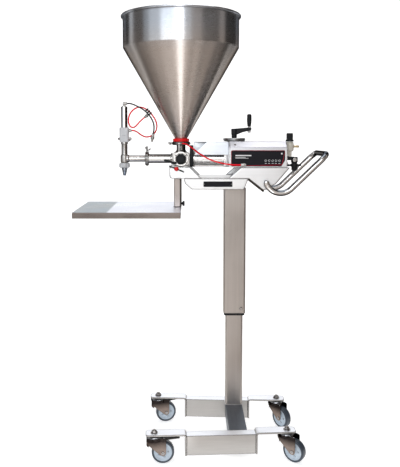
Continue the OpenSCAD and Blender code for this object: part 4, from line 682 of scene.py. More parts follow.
prism("valve_housing", rounded(74, 56, 12, 0, SPOUT_Z), -48, 48, "cast_steel", slot="line_steel",
      cad="valve_body", bevel=1.6)
block("valve_foot", (-30, -35, 1113), (30, 35, 1161.5), "cast_steel", slot="line_steel", bevel=2)
lathe("valve_neck", [(15, 1215), (26, 1215), (24.5, 1219), (20.5, 1224), (19, 1228), (19, 1249),
                     (20, 1250), (32, 1250), (32, 1254.4), (15, 1254.4)],
      (0, 0, 0), "clamp_steel", soft=0.6, slot="line_steel")
lathe("valve_cover", [(24, -51.2), (30.5, -51.2), (32, -50), (32, -47.9), (24, -47.9)],
      LINE, "line_steel", axis="Y", soft=0.5)
cover_screws = bmesh.new()
for k in range(4):
    a = math.radians(45 + 90 * k)
    spot = (31 * math.cos(a), -48, SPOUT_Z + 22 * math.sin(a))
    turn_into(cover_screws, [(2.6, -3.2), (3.2, -2.6), (3.2, 0.4)], spot, "Y", 20)
piece("valve_screws", cover_screws, "screw_steel")
octagon = [polar(23.0, 22.5 + 45 * k, 0, SPOUT_Z) for k in range(8)]
knob = prism_into(bmesh.new(), softened(octagon, 4), -68, -50)
turn_into(knob, [(14.5, -74), (17, -72), (17, -66)], LINE, "Y", 64)
disc_into(knob, 12, -50, -48.4, LINE, "Y", 48)
pointer = [(-2, SPOUT_Z + 4), (2, SPOUT_Z + 4), (1.4, SPOUT_Z + 15), (-1.4, SPOUT_Z + 15)]
prism_into(knob, softened(pointer, 0.6), -74.6, -73.5)
piece("valve_handwheel", knob, "black_plastic", body="valve", cad="valve_knob", bevel=1.8)
prism("yoke_plate", rounded(76, 91, 8, 0, 1200.5), 37.05, 52.95, "black_plastic", plane="YZ",
      cad="valve_yoke", bevel=1.2)

# ---- spout, clamp and nozzle --------------------------------------------------------------

lathe("spout_pipe", [(16.5, -146), (24, -146), (24, -142.5), (20.5, -141), (19, -139), (19, -45),
                     (20.5, -43), (24, -41.5), (24, -37), (16.5, -37)],
      LINE, "line_steel", axis="X", soft=0.7, cad="spout_tube")
grip = lathe_into(bmesh.new(), softened(
    [(21, -153.5), (26.5, -153.5), (28, -152), (28, -140), (26.5, -138.5), (21, -138.5),
     (21, -140.8), (24.3, -140.8), (24.3, -151.2), (21, -151.2)], 0.7), LINE, "X", 80)
for hinge in ([(-150, 1157), (-141, 1157), (-140, 1163), (-151, 1163)],
              [(-153, 1214), (-139, 1214), (-140, 1221), (-152, 1221)]):
    prism_into(grip, softened(hinge, 1.5), -6, 6)
turn_into(grip, [(3.4, 1215), (3.4, 1240), (2.6, 1242)], (-146, 0, 0), "Z", 20)
wing(grip, (-146, 0, 1223), (0.35, 0, 1), 11, math.radians(8))
piece("spout_clamp_ring", grip, "clamp_steel", cad="spout_clamp")

lathe("nozzle_pipe", [(10.5, 1156), (15.6, 1156), (16, 1157), (16, 1169), (13, 1172), (13, 1204),
                      (13.4, 1205), (13.4, 1207), (13, 1208), (13, 1250), (15, 1252), (15, 1260),
                      (10.5, 1260)],
      NOZZLE_FOOT, "turned_steel", soft=0.5, slot="line_steel", cad="nozzle_body")
lathe("nozzle_branch", [(11, NOZZLE + 9), (16.5, NOZZLE + 9), (16.5, NOZZLE + 16),
                        (13.5, NOZZLE + 21), (13.5, -155), (16, -153), (24, -151), (24, -146.1),
                        (11, -146.1)],
      LINE, "line_steel", axis="X", soft=0.6)
lathe("nozzle_saddle", [(10.6, 1171), (15.2, 1172), (17, 1178), (17, 1200), (15.2, 1206),
                        (10.6, 1207)],
      NOZZLE_FOOT, "cast_steel", soft=1.5, slot="line_steel")
# Ring nut with six finger flutes
NUT_R, FLUTES, FLUTE_DEPTH = 23.4, 6, 2.6
nut = prism_into(bmesh.new(), [
    polar(NUT_R - max(0.0, math.cos(FLUTES * math.radians(5 * k))) ** 3 * FLUTE_DEPTH, 5 * k)
    for k in range(72)], 1152, 1167.5, "XY")
lathe_into(nut, [(16.2, 1167), (22.2, 1167), (21.6, 1169.4), (20.5, 1170), (16.2, 1170)],
           (0, 0, 0), "Z", 64)
lathe_into(nut, [(13.6, 1150), (20.8, 1150), (22.0, 1152.4), (13.6, 1152.4)], (0, 0, 0), "Z", 64)
piece("nozzle_ring_nut", nut, "block_white", slot="line_steel", cad="nozzle_nut",
      bevel=0.7, frame_of=head_at(NOZZLE))
lathe("nozzle_tip_cone", [(3.5, 1116), (5.2, 1116), (5.6, 1116.6), (9.4, 1132.5), (9.0, 1133.2),
                          (9.4, 1134), (13, 1148), (13, 1152), (10.5, 1152), (10.0, 1149.5),
                          (3.5, 1126)],
      NOZZLE_FOOT, "nozzle_blue", slot="line_steel", cad="nozzle_tip")

prism("actuator_housing", rounded(40, 36, 8, NOZZLE, 0), 1260, 1322, "block_white", plane="XY",
      slot="line_steel", cad="actuator_block", bevel=1.8)
studs = bmesh.new()
for profile, y, z, sides in (
    ([(4, -24), (4, 22)], -9, 1274, 24),
    ([(5, 21), (5.6, 22.5), (5.6, 29), (4.6, 31)], -9, 1274, 32),
    ([(4.6, -26.5), (5.4, -25), (5.4, -20)], -9, 1274, 6),
    ([(5, 18), (5, 23), (3.6, 25)], 9, 1268, 24),
):
    turn_into(studs, [(r, NOZZLE + x) for r, x in profile], (0, y, z), "X", sides)
piece("actuator_studs", studs, "screw_steel")
lathe("actuator_groove", [(18.2, 1288.2), (19.4, 1288.2), (19.4, 1289.0), (18.2, 1289.0)],
      NOZZLE_FOOT, "clamp_steel", slot="line_steel", steps=48)
lathe("actuator_barrel", [(11.9, 1322), (14, 1322), (14, 1324.5), (13.4, 1325), (13.4, 1403),
                          (14, 1404), (14, 1407), (12.5, 1409.5), (10, 1412), (4, 1412), (4, 1404),
                          (11.9, 1404)],
      NOZZLE_FOOT, "barrel_steel", slot="line_steel", cad="actuator_cylinder", soft=0.4)

# Push-in fittings: hexagons and bodies, then the elbows that each hose leaves or enters
fittings = bmesh.new()
turn_into(fittings, [(6, 1411.5), (6, 1416), (4.6, 1417), (4.6, 1424)], NOZZLE_FOOT, "Z", 6)
turn_into(fittings, [(5.4, 1418), (5.9, 1420), (5.9, 1428), (4.5, 1430)], NOZZLE_FOOT, "Z", 32)
for profile, spot in (
    ([(AXIS, NOZZLE), (5.4, NOZZLE), (5.4, -237), (6, -236.4), (6, -232), (3.1, -231)],
     (0, 0, 1424)),
    ([(AXIS, -223), (6, -223), (6, -217.5), (5.2, -217), (5.2, -213), (3.1, -211)], (0, 0, 1309)),
):
    lathe_into(fittings, profile, spot, "X", 32, closed=False)
turn_into(fittings, [(6.4, 1216.9), (6.4, 1222), (4, 1223), (4, 1254)], (-8, -44, 0), "Z", 6)
for profile, spot in (
    ([(AXIS, -13.4), (5, -13.4), (5.5, -12), (5.5, 1.5), (4.6, 3), (3.1, 4)], (0, -44, 1254)),
    ([(3.1, 247), (5, 247.4), (5.5, 249), (5.5, 262), (4.4, 263), (4.4, 269), (AXIS, 269)],
     (0, -112, 1167)),
):
    lathe_into(fittings, profile, spot, "X", 32, closed=False)
turn_into(fittings, [(4, -112), (4, -101.5), (6.4, -101), (6.4, -97.6)], (263, 0, 1167), "Y", 32)
piece("push_in_fittings", fittings, "cast_steel", slot="line_steel", cad="hose_fittings")

tie = bmesh.new()
along_hoses = Vector((0.68, 0, -0.73)).to_track_quat("Z", "Y").to_matrix()
for spot in ((-147, -3, 1396), (-140, -3, 1388), (-133, -3, 1380)):
    lathe_into(tie, [(6.5, -3), (9.4, -3), (10.2, -1.5), (10.2, 1.5), (9.4, 3), (6.5, 3)],
               spot, along_hoses, 32)
piece("hose_tie", tie, "black_ridged", slot="black_plastic", bevel=0.3)

# ---- cradle, lever and clamp screw --------------------------------------------------------

LEVER_X, LEVER_Z = -24, 1172
outline = softened([(0, -6), (5.4, -3.4), (5.4, 3.4), (0, 6), (-9, 6), (-27, 14), (-45, 15.4),
                    (-48, 12), (-46, 7.4), (-28, 5), (-10, -4)], 2.5)
lever = prism_into(bmesh.new(), [(LEVER_X + x, LEVER_Z + z) for x, z in outline], -58, -49.4)
turn_into(lever, [(4, -58.3), (5, -57), (5, -48.4)], (LEVER_X, 0, LEVER_Z), "Y", 32)
piece("lock_lever_arm", lever, "black_plastic", body="lock_lever", cad="lock_lever", bevel=2.2)

TEE, TEE_Y, TEE_TILT = (-18, 0, 1151), -122, math.radians(22)
screw = turn_into(bmesh.new(), [(4, TEE_Y), (4, -36.2), (3.2, -35.3)], TEE, "Y", 32)
bar = Matrix(((0, 0, math.cos(TEE_TILT)), (0, 1, 0), (1, 0, -math.sin(TEE_TILT))))
turn_into(screw, [(2.4, -33), (3.5, -31.5), (3.1, -28), (2.8, 0), (3.1, 28), (3.5, 31.5),
                  (2.4, 33)], (TEE[0], TEE_Y, TEE[2]), bar, 24)
piece("clamp_tee", screw, "black_plastic", body="clamp_screw", slot="screw_black",
      cad="clamp_screw")
ball = [polar(9, a) for a in range(-90, 91, 6)]
lathe("clamp_ball", [(max(AXIS, r), z + TEE_Y) for r, z in ball], TEE, "ball_red", axis="Y",
      closed=False, body="clamp_screw", slot="screw_black", steps=48)
lathe("clamp_washer", [(4.2, -113), (9, -113), (10, -112), (10, -110.1), (4.2, -110.1)],
      TEE, "screw_steel", axis="Y", soft=0.4)

# ---- cabinet ------------------------------------------------------------------------------

# The panel's cut corner: the line's foot, and its rise over its run
CUT_X, CUT_Z, CUT_RISE, CUT_RUN = 416, 1160, 27, 16


def cut_corner(points, inset):
    """Moves the points beyond the panel's cut corner onto the cut."""
    out = []
    for x, z in points:
        over = (x - CUT_X + inset) * CUT_RISE - (z - CUT_Z - inset) * CUT_RUN
        if over > 0:
            k = over / (CUT_RISE * CUT_RISE + CUT_RUN * CUT_RUN)
            x, z = x - CUT_RISE * k, z + CUT_RUN * k
        out.append((x, z))
    return out


PANEL = (320, 1193.5)
border = bmesh.new()
outer = cut_corner(rounded(222, 65, 5, *PANEL), 1.0)
inner = cut_corner(rounded(219.6, 62.6, 4, *PANEL), 2.2)
for (a, b), (c, d) in zip(neighbours(outer), neighbours(inner)):
    border.faces.new([border.verts.new((x, -97.7, z)) for x, z in (a, b, d, c)])
bmesh.ops.solidify(border, geom=border.faces[:], thickness=0.15)
piece("panel_border", border, "panel_red", slot="panel_black")

# Generic marks: five buttons with dashes, three bars and a lamp
MARK_FRONT, MARK_BACK = -97.75, -97.4
marks = bmesh.new()
for k in range(5):
    lathe_into(marks, [(3.2, MARK_FRONT), (4.2, MARK_FRONT), (4.2, MARK_BACK), (3.2, MARK_BACK)],
               (352 + 14 * k, 0, 1184), "Y", 28)
    block_into(marks, (348 + 14 * k, MARK_FRONT, 1172), (356 + 14 * k, MARK_BACK, 1173.4))
for z, x1, high in ((1203, 292, 4.5), (1197, 268, 2.0), (1193, 280, 1.6)):
    block_into(marks, (226, MARK_FRONT, z), (x1, MARK_BACK, z + high))
disc_into(marks, 3.6, -97.8, MARK_BACK, (418, 0, 1213), "Y", 28)
piece("panel_marks", marks, "panel_white", slot="panel_black")

trim = bmesh.new()
slant = Vector((0, -0.55, 0.83)).to_track_quat("Z", "X").to_matrix()
for x, z in ((214, 1246), (226, 1249)):
    lathe_into(trim, [(AXIS, 0), (4.2, 0), (4.2, 2.4), (3.4, 3.2), (1.8, 3.2), (1.8, 1.6),
                      (AXIS, 1.6)], Vector((x, -82, z)) + slant @ Vector((0, 0, -1.2)), slant, 24)
for y in (-78, 78):
    for z in (1172, 1228):
        turn_into(trim, [(3.6, 446.6), (6.6, 445.6), (7, 444), (7, 441.1)], (0, y, z), "X", 6)
piece("cabinet_screws", trim, "screw_steel")

# Dark joint inside the cabinet's end: a ring that leaves the stroke stop its way through
end_gap = bmesh.new()
section = [(-95.3, 1156.4), (95.3, 1156.4), (95.3, 1240), (60, 1263.3), (-60, 1263.3),
           (-95.3, 1240)]
END_Z = 1209.8
within = [(y * 0.985, END_Z + (z - END_Z) * 0.975) for y, z in section]
for (a, b), (c, d) in zip(neighbours(section), neighbours(within)):
    prism_into(end_gap, [a, b, d, c], 203.2, 204.2, "YZ")
piece("cabinet_joint", end_gap, "clamp_steel", slot="bright_steel")
prism("cylinder_flange", rounded(70, 70, 6, 0, SPOUT_Z), 190, 198.9, "bright_steel", plane="YZ",
      bevel=1)
# Four rods, each with a nut that starts a little in, so that no two faces coincide
tie_rods, ROD = bmesh.new(), 29
for y in (-ROD, ROD):
    for z in (SPOUT_Z - ROD, SPOUT_Z + ROD):
        disc_into(tie_rods, 3.5, 53, 184, (0, y, z), "X", 20)
        disc_into(tie_rods, 6, 53.05, 58, (0, y, z), "X", 6)
piece("cylinder_rods", tie_rods, "line_steel")
# A dark diagonal strip along the lower edge of the handle's gusset.
prism("tail_dark_strip", [(281, 1109.8), (285, 1109.8), (345, 1062.5), (345, 1055.5), (339, 1054.5),
                    (279, 1102.5)], -104, 104, "tail_dark", slot="bright_steel", bevel=1)
PLATE_X, PLATE_Z = 154, 1086.5
prism("pedestal_plate", rounded(120, 23, 2, PLATE_X, PLATE_Z), -101.6, -100.05, "panel_black",
      bevel=0.4)
plate_pins = bmesh.new()
for x in (98.5, 209.5):
    lathe_into(plate_pins, [(AXIS, -102.4), (1.2, -102.4), (2, -101.6), (AXIS, -101.6)],
               (x, 0, PLATE_Z), "Y", 16)
piece("pedestal_pins", plate_pins, "screw_steel")

# ---- crank, dial and air unit -------------------------------------------------------------

lathe("dial_disc", [(6.1, 1263.05), (44, 1263.05), (46, 1265), (46, 1268), (48, 1269), (48, 1275),
                    (46.5, 1277), (6.1, 1277)],
      (0, 0, 0), "dial_grey", steps=120, soft=0.8, cad="dial_plate", frame_of=head_at(CRANK))
# Sixty ticks that end short of the dial's edge, each fifth one longer
ticks, TICK_END, TICK_HALF = bmesh.new(), 44, 0.35
for k in range(60):
    turn = Matrix.Rotation(math.radians(6 * k), 3, "Z")
    foot = TICK_END - (3.0 if k % 5 else 5.0)
    one, two = ([ticks.verts.new(turn @ Vector((x, y, z)) + Vector(CRANK_FOOT)) for x, y in (
        (foot, -TICK_HALF), (TICK_END, -TICK_HALF), (TICK_END, TICK_HALF), (foot, TICK_HALF))]
                for z in (1277.0, 1277.15))
    bridge(ticks, one, two)
piece("dial_ticks", ticks, "panel_white", slot="dial_grey")

arm = prism_into(bmesh.new(), softened(
    [(CRANK + x, z) for x, z in (
        (-13, 1305), (-13, 1316), (5, 1317.5), (46, 1321), (72, 1323), (74, 1315), (70, 1309),
        (36, 1302), (12, 1292), (4, 1296))], 4), -8, 8)
piece("crank_arm", arm, "black_plastic", body="crank", cad="crank", bevel=3.0, segments=4)
lathe("crank_hub", [(AXIS, 1277.4), (10.5, 1277.4), (11.5, 1279), (11.5, 1290), (13, 1296),
                    (13, 1314), (11, 1317), (AXIS, 1317)],
      CRANK_FOOT, "black_plastic", body="crank", soft=0.8)
GRIP_FOOT = (CRANK + 64, 0, 0)
pin = turn_into(bmesh.new(), [(6, 1300), (6, 1326.6), (4, 1327), (4, 1375)], GRIP_FOOT, "Z", 32)
disc_into(pin, 6, 1228, 1280, CRANK_FOOT)
piece("crank_pin", pin, "screw_steel", body="crank")
lathe("crank_handle", [(4.1, 1327.4), (7.2, 1327.4), (8, 1328.6), (8.1, 1332), (9.7, 1346),
                       (10, 1356), (9.8, 1372), (8.6, 1377.6), (6, 1379.2), (AXIS, 1379.3),
                       (AXIS, 1376.5), (4.1, 1376.4)],
      GRIP_FOOT, "black_plastic", body="grip", cad="crank_grip", soft=0.6)

# The regulator's axis, and the shut-off valve's below it
AIR, LOW = 466.0, 487.0
air = lathe_into(bmesh.new(), softened(
    [(AXIS, 1220), (13, 1220), (17.5, 1226), (17.5, 1236), (16.4, 1238), (17.5, 1240),
     (17.5, 1252), (13, 1261.5), (5, 1262), (AXIS, 1262)], 1.2), (AIR, 0, 0), "Z", 64)
bracket = [(441.1, 1209), (455, 1209), (466, 1222), (466, 1239), (441.1, 1239)]
prism_into(air, softened(bracket, 3), -13, 13)
block_into(air, (458, -8, 1194), (474, 8, 1224))
piece("regulator_body", air, "air_metal", cad="air_unit", bevel=1.2)
dark = lathe_into(bmesh.new(), softened(
    [(AXIS, 1135), (5, 1135), (10.5, 1138), (12.45, 1142), (12.45, 1172), (14.5, 1174),
     (14.5, 1192), (13, 1196), (AXIS, 1197)], 1.0), (LOW, 0, 0), "Z", 64)
elbow = [(458, 1182), (487, 1182), (487, 1197), (466, 1197), (458, 1202)]
prism_into(dark, softened(elbow, 2), -9, 9)
piece("shutoff_body", dark, "black_plastic", slot="air_metal", bevel=1.0)
lathe("shutoff_gauge", [(AXIS, -15.6), (7.6, -15.6), (9, -14.8), (9, -12.5), (AXIS, -12.5)],
      (LOW, 0, 1184), "cast_steel", axis="Y", slot="air_metal", soft=0.4)
lathe("air_inlet_brass", [
    (3.1, 494), (3.1, 506), (4.4, 506), (5, 505), (5, 500), (4.3, 499.5), (5, 499), (5, 494),
    (4.2, 493), (4.2, 484), (7.2, 484), (7.2, 479), (AXIS, 479), (AXIS, 494)],
    (0, 0, 1241), "brass", axis="X", steps=32, slot="air_metal")
block("regulator_neck", (472, -6, 1235), (485, 6, 1247), "air_metal", bevel=1.5)
# Knurled cap: 24 ribs of four points, the middle two drawn in
ridges = bmesh.new()
for z0, z1, r0, r1 in ((1262.5, 1270, 18, 17), (1270, 1296, 14.0, 14.0)):
    one, two = ([ridges.verts.new((*polar(r * (1.0 - 0.045 * (k % 4 in (1, 2))), 360 * k / 96, AIR),
                                   z)) for k in range(96)]
                for z, r in ((z0, r0), (z1, r1)))
    bridge(ridges, one, two)
turn_into(ridges, [(13.2, 1296), (12.6, 1297.8), (11, 1298.3)], (AIR, 0, 0), "Z", 64)
piece("regulator_cap", ridges, "black_ridged", body="regulator_knob", slot="black_plastic",
      cad="regulator_knob", angle=25)
cross = lathe_into(bmesh.new(), softened(
    [(12.6, 1155), (16.4, 1155), (17, 1156), (17, 1165), (16.4, 1166), (12.6, 1166)], 0.8),
    (LOW, 0, 0), "Z", 64)
for sign in (-1, 1):
    span = [(r, sign * x) for r, x in ((4.6, 15), (4.2, 22), (5.4, 26), (5.5, 29), (3.4, 30.5))]
    turn_into(cross, span, (LOW, 0, 1160.5), "X", 28)
piece("shutoff_lever", cross, "black_plastic", body="shutoff", cad="shutoff_handle", bevel=0.6)

# ---- push handle --------------------------------------------------------------------------

BEND, BEND_R = (411.0, 1113.0), 62
BEND_FIRST, BEND_LAST, BOLT_STEP = 197, 314, 16
HANDLE_Y, CORNER_R, HANDLE_END = 123, 36, 602
SLOPE = math.radians(BEND_LAST - 270)


def on_bend(a):
    return polar(BEND_R, a, *BEND)


half = [on_bend(a) for a in range(BEND_FIRST, BEND_LAST + 1, 3)]
last_x, last_z = on_bend(BEND_LAST)
start = Vector((last_x, 0, last_z))
slope = Vector((math.cos(SLOPE), 0, math.sin(SLOPE)))
run = (HANDLE_END - start.x) / slope.x - CORNER_R
one_side = [Vector((x, HANDLE_Y, z)) for x, z in half]
one_side += [start + Vector((0, HANDLE_Y, 0)) + slope * run * t for t in (0.25, 0.5, 0.75)]
for a in range(0, 91, 6):
    across, along = polar(CORNER_R, a)
    one_side.append(start + slope * (run + along) + Vector((0, HANDLE_Y - CORNER_R + across, 0)))
other_side = [Vector((p.x, -p.y, p.z)) for p in reversed(one_side)]
tube("handle_tube", one_side + other_side, 12.0, "handle_steel", "push_handle", 20)
lugs, end_domes = bmesh.new(), bmesh.new()
into_tube = Vector(polar(1, BEND_FIRST - 90)).to_3d().xzy.to_track_quat("Z", "Y").to_matrix()
dome = [(max(AXIS, 11.9 * math.cos(math.radians(a))), 5 * math.sin(math.radians(a)))
        for a in range(0, 91, 10)]
for side in (-1, 1):
    for a, sides in ((BEND_FIRST, 32), (BEND_FIRST + BOLT_STEP, 6)):
        x, z = on_bend(a)
        for profile, steps in (([(8, 110.05), (8, 117), (7, 123)], 32),
                               ([(6.6, 133), (6.6, 134), (4.5, 134.9)], sides)):
            turn_into(lugs, [(r, side * y) for r, y in profile], (x, 0, z), "Y", steps)
    lathe_into(end_domes, dome, (half[0][0], side * HANDLE_Y, half[0][1]), into_tube, 32,
               closed=False)
piece("handle_lugs", lugs, "handle_steel", bevel=0.5)
piece("handle_caps", end_domes, "handle_steel")

# ---- casters ------------------------------------------------------------------------------

# Degrees that each side beam is splayed, and the swivels' places from the middle of the base
SPLAY, ROW_Y, SWIVEL_X = 3.0, 163, 264
# For each caster: how far it is turned, its side (-1 under the hopper) and its row (-1 in front)
TURNS, SIDES, ROWS = (0, -40, 15, -50), (-1, 1, -1, 1), (-1, -1, 1, 1)
WHEEL, PEDAL_PIN, SWIVEL = (34, 0, 45), (38, 0, 98), (0, 0, 0)


def caster_matrix(i):
    splay = Matrix.Rotation(math.radians(-ROWS[i] * SPLAY), 4, "Z")
    turn = Matrix.Rotation(math.radians(TURNS[i]), 4, "Z")
    foot = Matrix.Translation((HEAD_X + BASE_X, HEAD_Y + BASE_Y + ROWS[i] * ROW_Y, 0))
    return foot @ splay @ Matrix.Translation((SIDES[i] * SWIVEL_X, 0, 0)) @ turn


def mirrored(profile):
    """A profile given from its lower end to the middle, with the other half added."""
    return profile + [(r, -z) for r, z in reversed(profile)]


LEG = softened([(-31, 106), (-31, 92), (-24, 78), (20, 40), (24.5, 36.2), (34, 33), (43.5, 37),
                (46, 45), (46.6, 93), (46.6, 103), (40, 106)], 5)
CROWN = softened([(6.1, 96), (20, 96), (26, 94), (30, 92.8), (31, 93.4), (31, 106), (27, 109.4),
                  (20, 110.7), (6.1, 110.7)], 1.5)
HUB = softened(mirrored([(5.1, -15.6), (11, -15.6), (13, -14.4), (14, -10.5), (27, -9.5),
                         (33, -12.5), (36.2, -13.2)]), 1.4)
TYRE = [(36.1, -13.4), (39, -15.2), (42.2, -14.6), (44.2, -11.5), (44.95, -7)]
TYRE = TYRE + [(45, 0)] + [(r, -z) for r, z in reversed(TYRE)]
TREAD = softened([(50, 97.6), (56, 98.2), (100, 103), (100, 107.6), (96, 108), (54, 103.6),
                  (50, 102)], 1.6)
SHOE = softened([(36, 95), (52, 95), (57, 98), (57, 103), (38, 103)], 2)
for i, tag in enumerate(("fl", "fr", "rl", "rr")):
    place = caster_matrix(i)
    fork = bmesh.new()
    for low, high in ((-21, -18.2), (18.2, 21)):
        prism_into(fork, LEG, low, high)
    lathe_into(fork, CROWN, SWIVEL, "Z", 72)
    lathe_into(fork, [(29.6, 72), (31, 70), (31, 97), (29.6, 97)], SWIVEL, "Z", 30, start=137,
               sweep=86)
    piece("caster_fork_shell_" + tag, fork, "caster_steel", body="fork_" + tag, frame_of=place,
          cad="caster_fork_" + tag, bevel=1.1)
    axle = turn_into(bmesh.new(), mirrored([(4, -24), (7.2, -23.2), (7.5, -21.4), (5, -21)]),
                     WHEEL, "Y", 6)
    disc_into(axle, 3, -25.2, 25.2, WHEEL, "Y", 20)
    piece("caster_axle_" + tag, axle, "screw_steel", body="fork_" + tag, frame_of=place,
          slot="caster_steel", bevel=0.4)
    wheel = lathe_into(bmesh.new(), HUB, WHEEL, "Y", 96)
    for k in range(5):
        x, z = polar(20.5, 72 * k, WHEEL[0], WHEEL[2])
        for s in (-1, 1):
            turn_into(wheel, [(3.4, s * 8), (3.0, s * 11.4)], (x, 0, z), "Y", 20)
    piece("caster_hub_" + tag, wheel, "wheel_grey", body="wheel_" + tag, frame_of=place,
          cad="caster_wheel_" + tag)
    lathe("caster_tyre_" + tag, TYRE, WHEEL, "tyre_grey", axis="Y", body="wheel_" + tag,
          frame_of=place, slot="wheel_grey", soft=1.0)
    if SIDES[i] < 0:
        pedal = prism_into(bmesh.new(), TREAD, -19, 19)
        prism_into(pedal, SHOE, -15.5, 15.5)
        for k in range(4):
            rise = 0.95 * k
            block_into(pedal, (62 + 9 * k, -14, 103.6 + rise), (65 + 9 * k, 14, 105.6 + rise))
        disc_into(pedal, 5, -17.6, 17.6, PEDAL_PIN, "Y", 28)
        disc_into(pedal, 3, -22.5, 22.5, PEDAL_PIN, "Y", 20)
        piece("caster_pedal_" + tag, pedal, "pedal_black", body="pedal_" + tag, frame_of=place,
              cad="brake_pedal_" + tag, bevel=0.9)
    bolt = lathe_into(bmesh.new(), [(AXIS, 120.05), (14, 120.05), (14, 121.6), (AXIS, 122)],
                      SWIVEL, "Z", 48)
    for profile, sides in (
        ([(10.4, 121.6), (10.4, 128), (9.6, 129)], 6), ([(6, 128), (6, 132), (5, 133)], 32),
        ([(15, 111), (16, 112), (16, 113.9)], 48), ([(8, 88.5), (9, 89.4), (9, 92.3)], 32),
        ([(5.9, 92), (5.9, 121)], 24),
    ):
        turn_into(bolt, profile, SWIVEL, "Z", sides)
    piece("caster_stem_" + tag, bolt, "screw_steel", body="base", frame_of=place, bevel=0.5,
          cad=None if i else "caster_bolts")

# ---- frame details ------------------------------------------------------------------------

KNOB = (0, 0, 995)
shelf_knob = lathe_into(bmesh.new(), softened(
    [(AXIS, 2.9), (6, 2.9), (6, 6), (10.6, 7), (11, 9), (11, 13.4), (9, 15.4), (AXIS, 15.5)], 1.0),
    KNOB, "X", 48)
disc_into(shelf_knob, 4, -0.3, 4, KNOB, "X", 24)
piece("shelf_screw_knob", shelf_knob, "black_plastic", body="shelf_knob", cad="shelf_knob")
COLUMN_X, WELD = 230, 6
# Two weld rings round the column, near white for a painted highlight line.
welds = bmesh.new()
for z, leg, w, d in ((1064.2, -1.6, 96, 72), (112.4, 1.6, 76, 52)):
    ring = rounded(w, d, 8, COLUMN_X, 0)
    inner_ring = rounded(w - WELD, d - WELD, 6, COLUMN_X, 0)
    for (a, b), (c, e) in zip(neighbours(ring), neighbours(inner_ring)):
        corners = ((*a, z), (*b, z), (*e, z + leg), (*c, z + leg))
        welds.faces.new([welds.verts.new(v) for v in corners])
piece("column_welds", welds, "weld_highlight_steel", slot="column_steel")

# ---- CAD nodes that stay in view ----------------------------------------------------------

KEPT = {
    "base_beams": "beam_steel", "cross_beam": "cross_steel", "inner_column": "column_steel",
    "outer_column": "column_steel", "column_glides": "black_plastic", "pedestal": "bright_steel",
    "cradle": "bright_steel", "frame_screws": "screw_steel", "cabinet_shell": "cabinet_steel",
    "control_panel": "panel_black", "air_cylinder": "inner_aluminium",
    "product_cylinder": "cylinder_steel", "cylinder_guard": "guard_steel",
    "shelf_post": "post_steel", "shelf": "shelf_steel", "piston_rod": "piston_white",
    "valve_spool": "line_steel", "stroke_stop": "stop_steel", "cutoff_stem": "turned_steel",
}
for name, material in KEPT.items():
    mesh = NODES[name].data
    mesh.materials.clear()
    mesh.materials.append(M[material])

# ---- floor and light ----------------------------------------------------------------------
# Lengths from here on are metres in the row frame.

# The paper's line in Y and Z: a floor, a quarter bend up and a wall
BEND_START, COVE_R, HALF_W, SINK = 1.6, 1.2, 7.0, 0.0005
sweep_line = [(-HALF_W, 0.0), (BEND_START, 0.0)]
for a in range(10, 91, 10):
    down, out = polar(COVE_R, a)
    sweep_line.append((BEND_START + out, COVE_R - down))
sweep_line.append((BEND_START + COVE_R, 6.0))
bm = bmesh.new()
left = [bm.verts.new((-HALF_W, y, z - SINK)) for y, z in sweep_line]
right = [bm.verts.new((HALF_W, y, z - SINK)) for y, z in sweep_line]
for k in range(len(sweep_line) - 1):
    bm.faces.new((left[k], right[k], right[k + 1], left[k + 1]))
cove_mesh = bpy.data.meshes.new("cove")
bm.to_mesh(cove_mesh)
bm.free()
cove = linked("cove", cove_mesh)
shade(cove_mesh, 60)
paper = Shader("pale_floor")
grain = paper.noise(90.0, detail=5)
paper.set(Base_Color=paper.mix(paper.ramp(grain, 0.3, 0.7), (0.86, 0.86, 0.86, 1),
                               (0.90, 0.90, 0.90, 1)),
          Roughness=0.75, Specular_IOR_Level=0.2, Emission_Color=(1, 1, 1, 1),
          Emission_Strength=0.62)
paper.finish_normal(grain, 0.0002, 0.2)
cove_mesh.materials.append(paper.mat)
cove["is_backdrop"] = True


def glow(name, color, strength):
    """A plain card material that gives off a fixed, even light."""
    s = Shader(name)
    s.set(Base_Color=(0.02, 0.02, 0.02, 1), Roughness=0.9, Emission_Color=(*color, 1),
          Emission_Strength=strength)
    return s.mat


# Where the floor comes into the picture, and the picture's sides, as shares of the depth
VIEW_START, VIEW_LEFT, VIEW_RIGHT = 2.2, -0.33, 0.375


def in_view(x, y):
    """Whether the camera could see a spot on the floor, with a margin."""
    depth = y - camera.location.y
    return depth > VIEW_START and VIEW_LEFT * depth < x - camera.location.x < VIEW_RIGHT * depth


WARM, COOL, WHITE = (1.0, 0.88, 0.80), (0.88, 0.94, 1.0), (1.0, 1.0, 1.0)
# Floor cards: azimuth range seen from the hopper (0 is towards the camera), colour, strength
FLOOR_CARDS = (
    (-135, -100, WARM, 0.10), (-100, -74, WARM, 0.30), (-74, -50, WARM, 0.50),
    (-50, -20, WARM, 0.62), (-20, -9, WARM, 0.76), (-9, 7, WHITE, 2.1), (7, 20, WARM, 0.64),
    (20, 34, WARM, 0.38), (34, 46, WARM, 0.58), (46, 62, WARM, 0.26), (62, 80, WARM, 0.44),
    (80, 104, WARM, 0.12), (104, 135, WARM, 0.05))
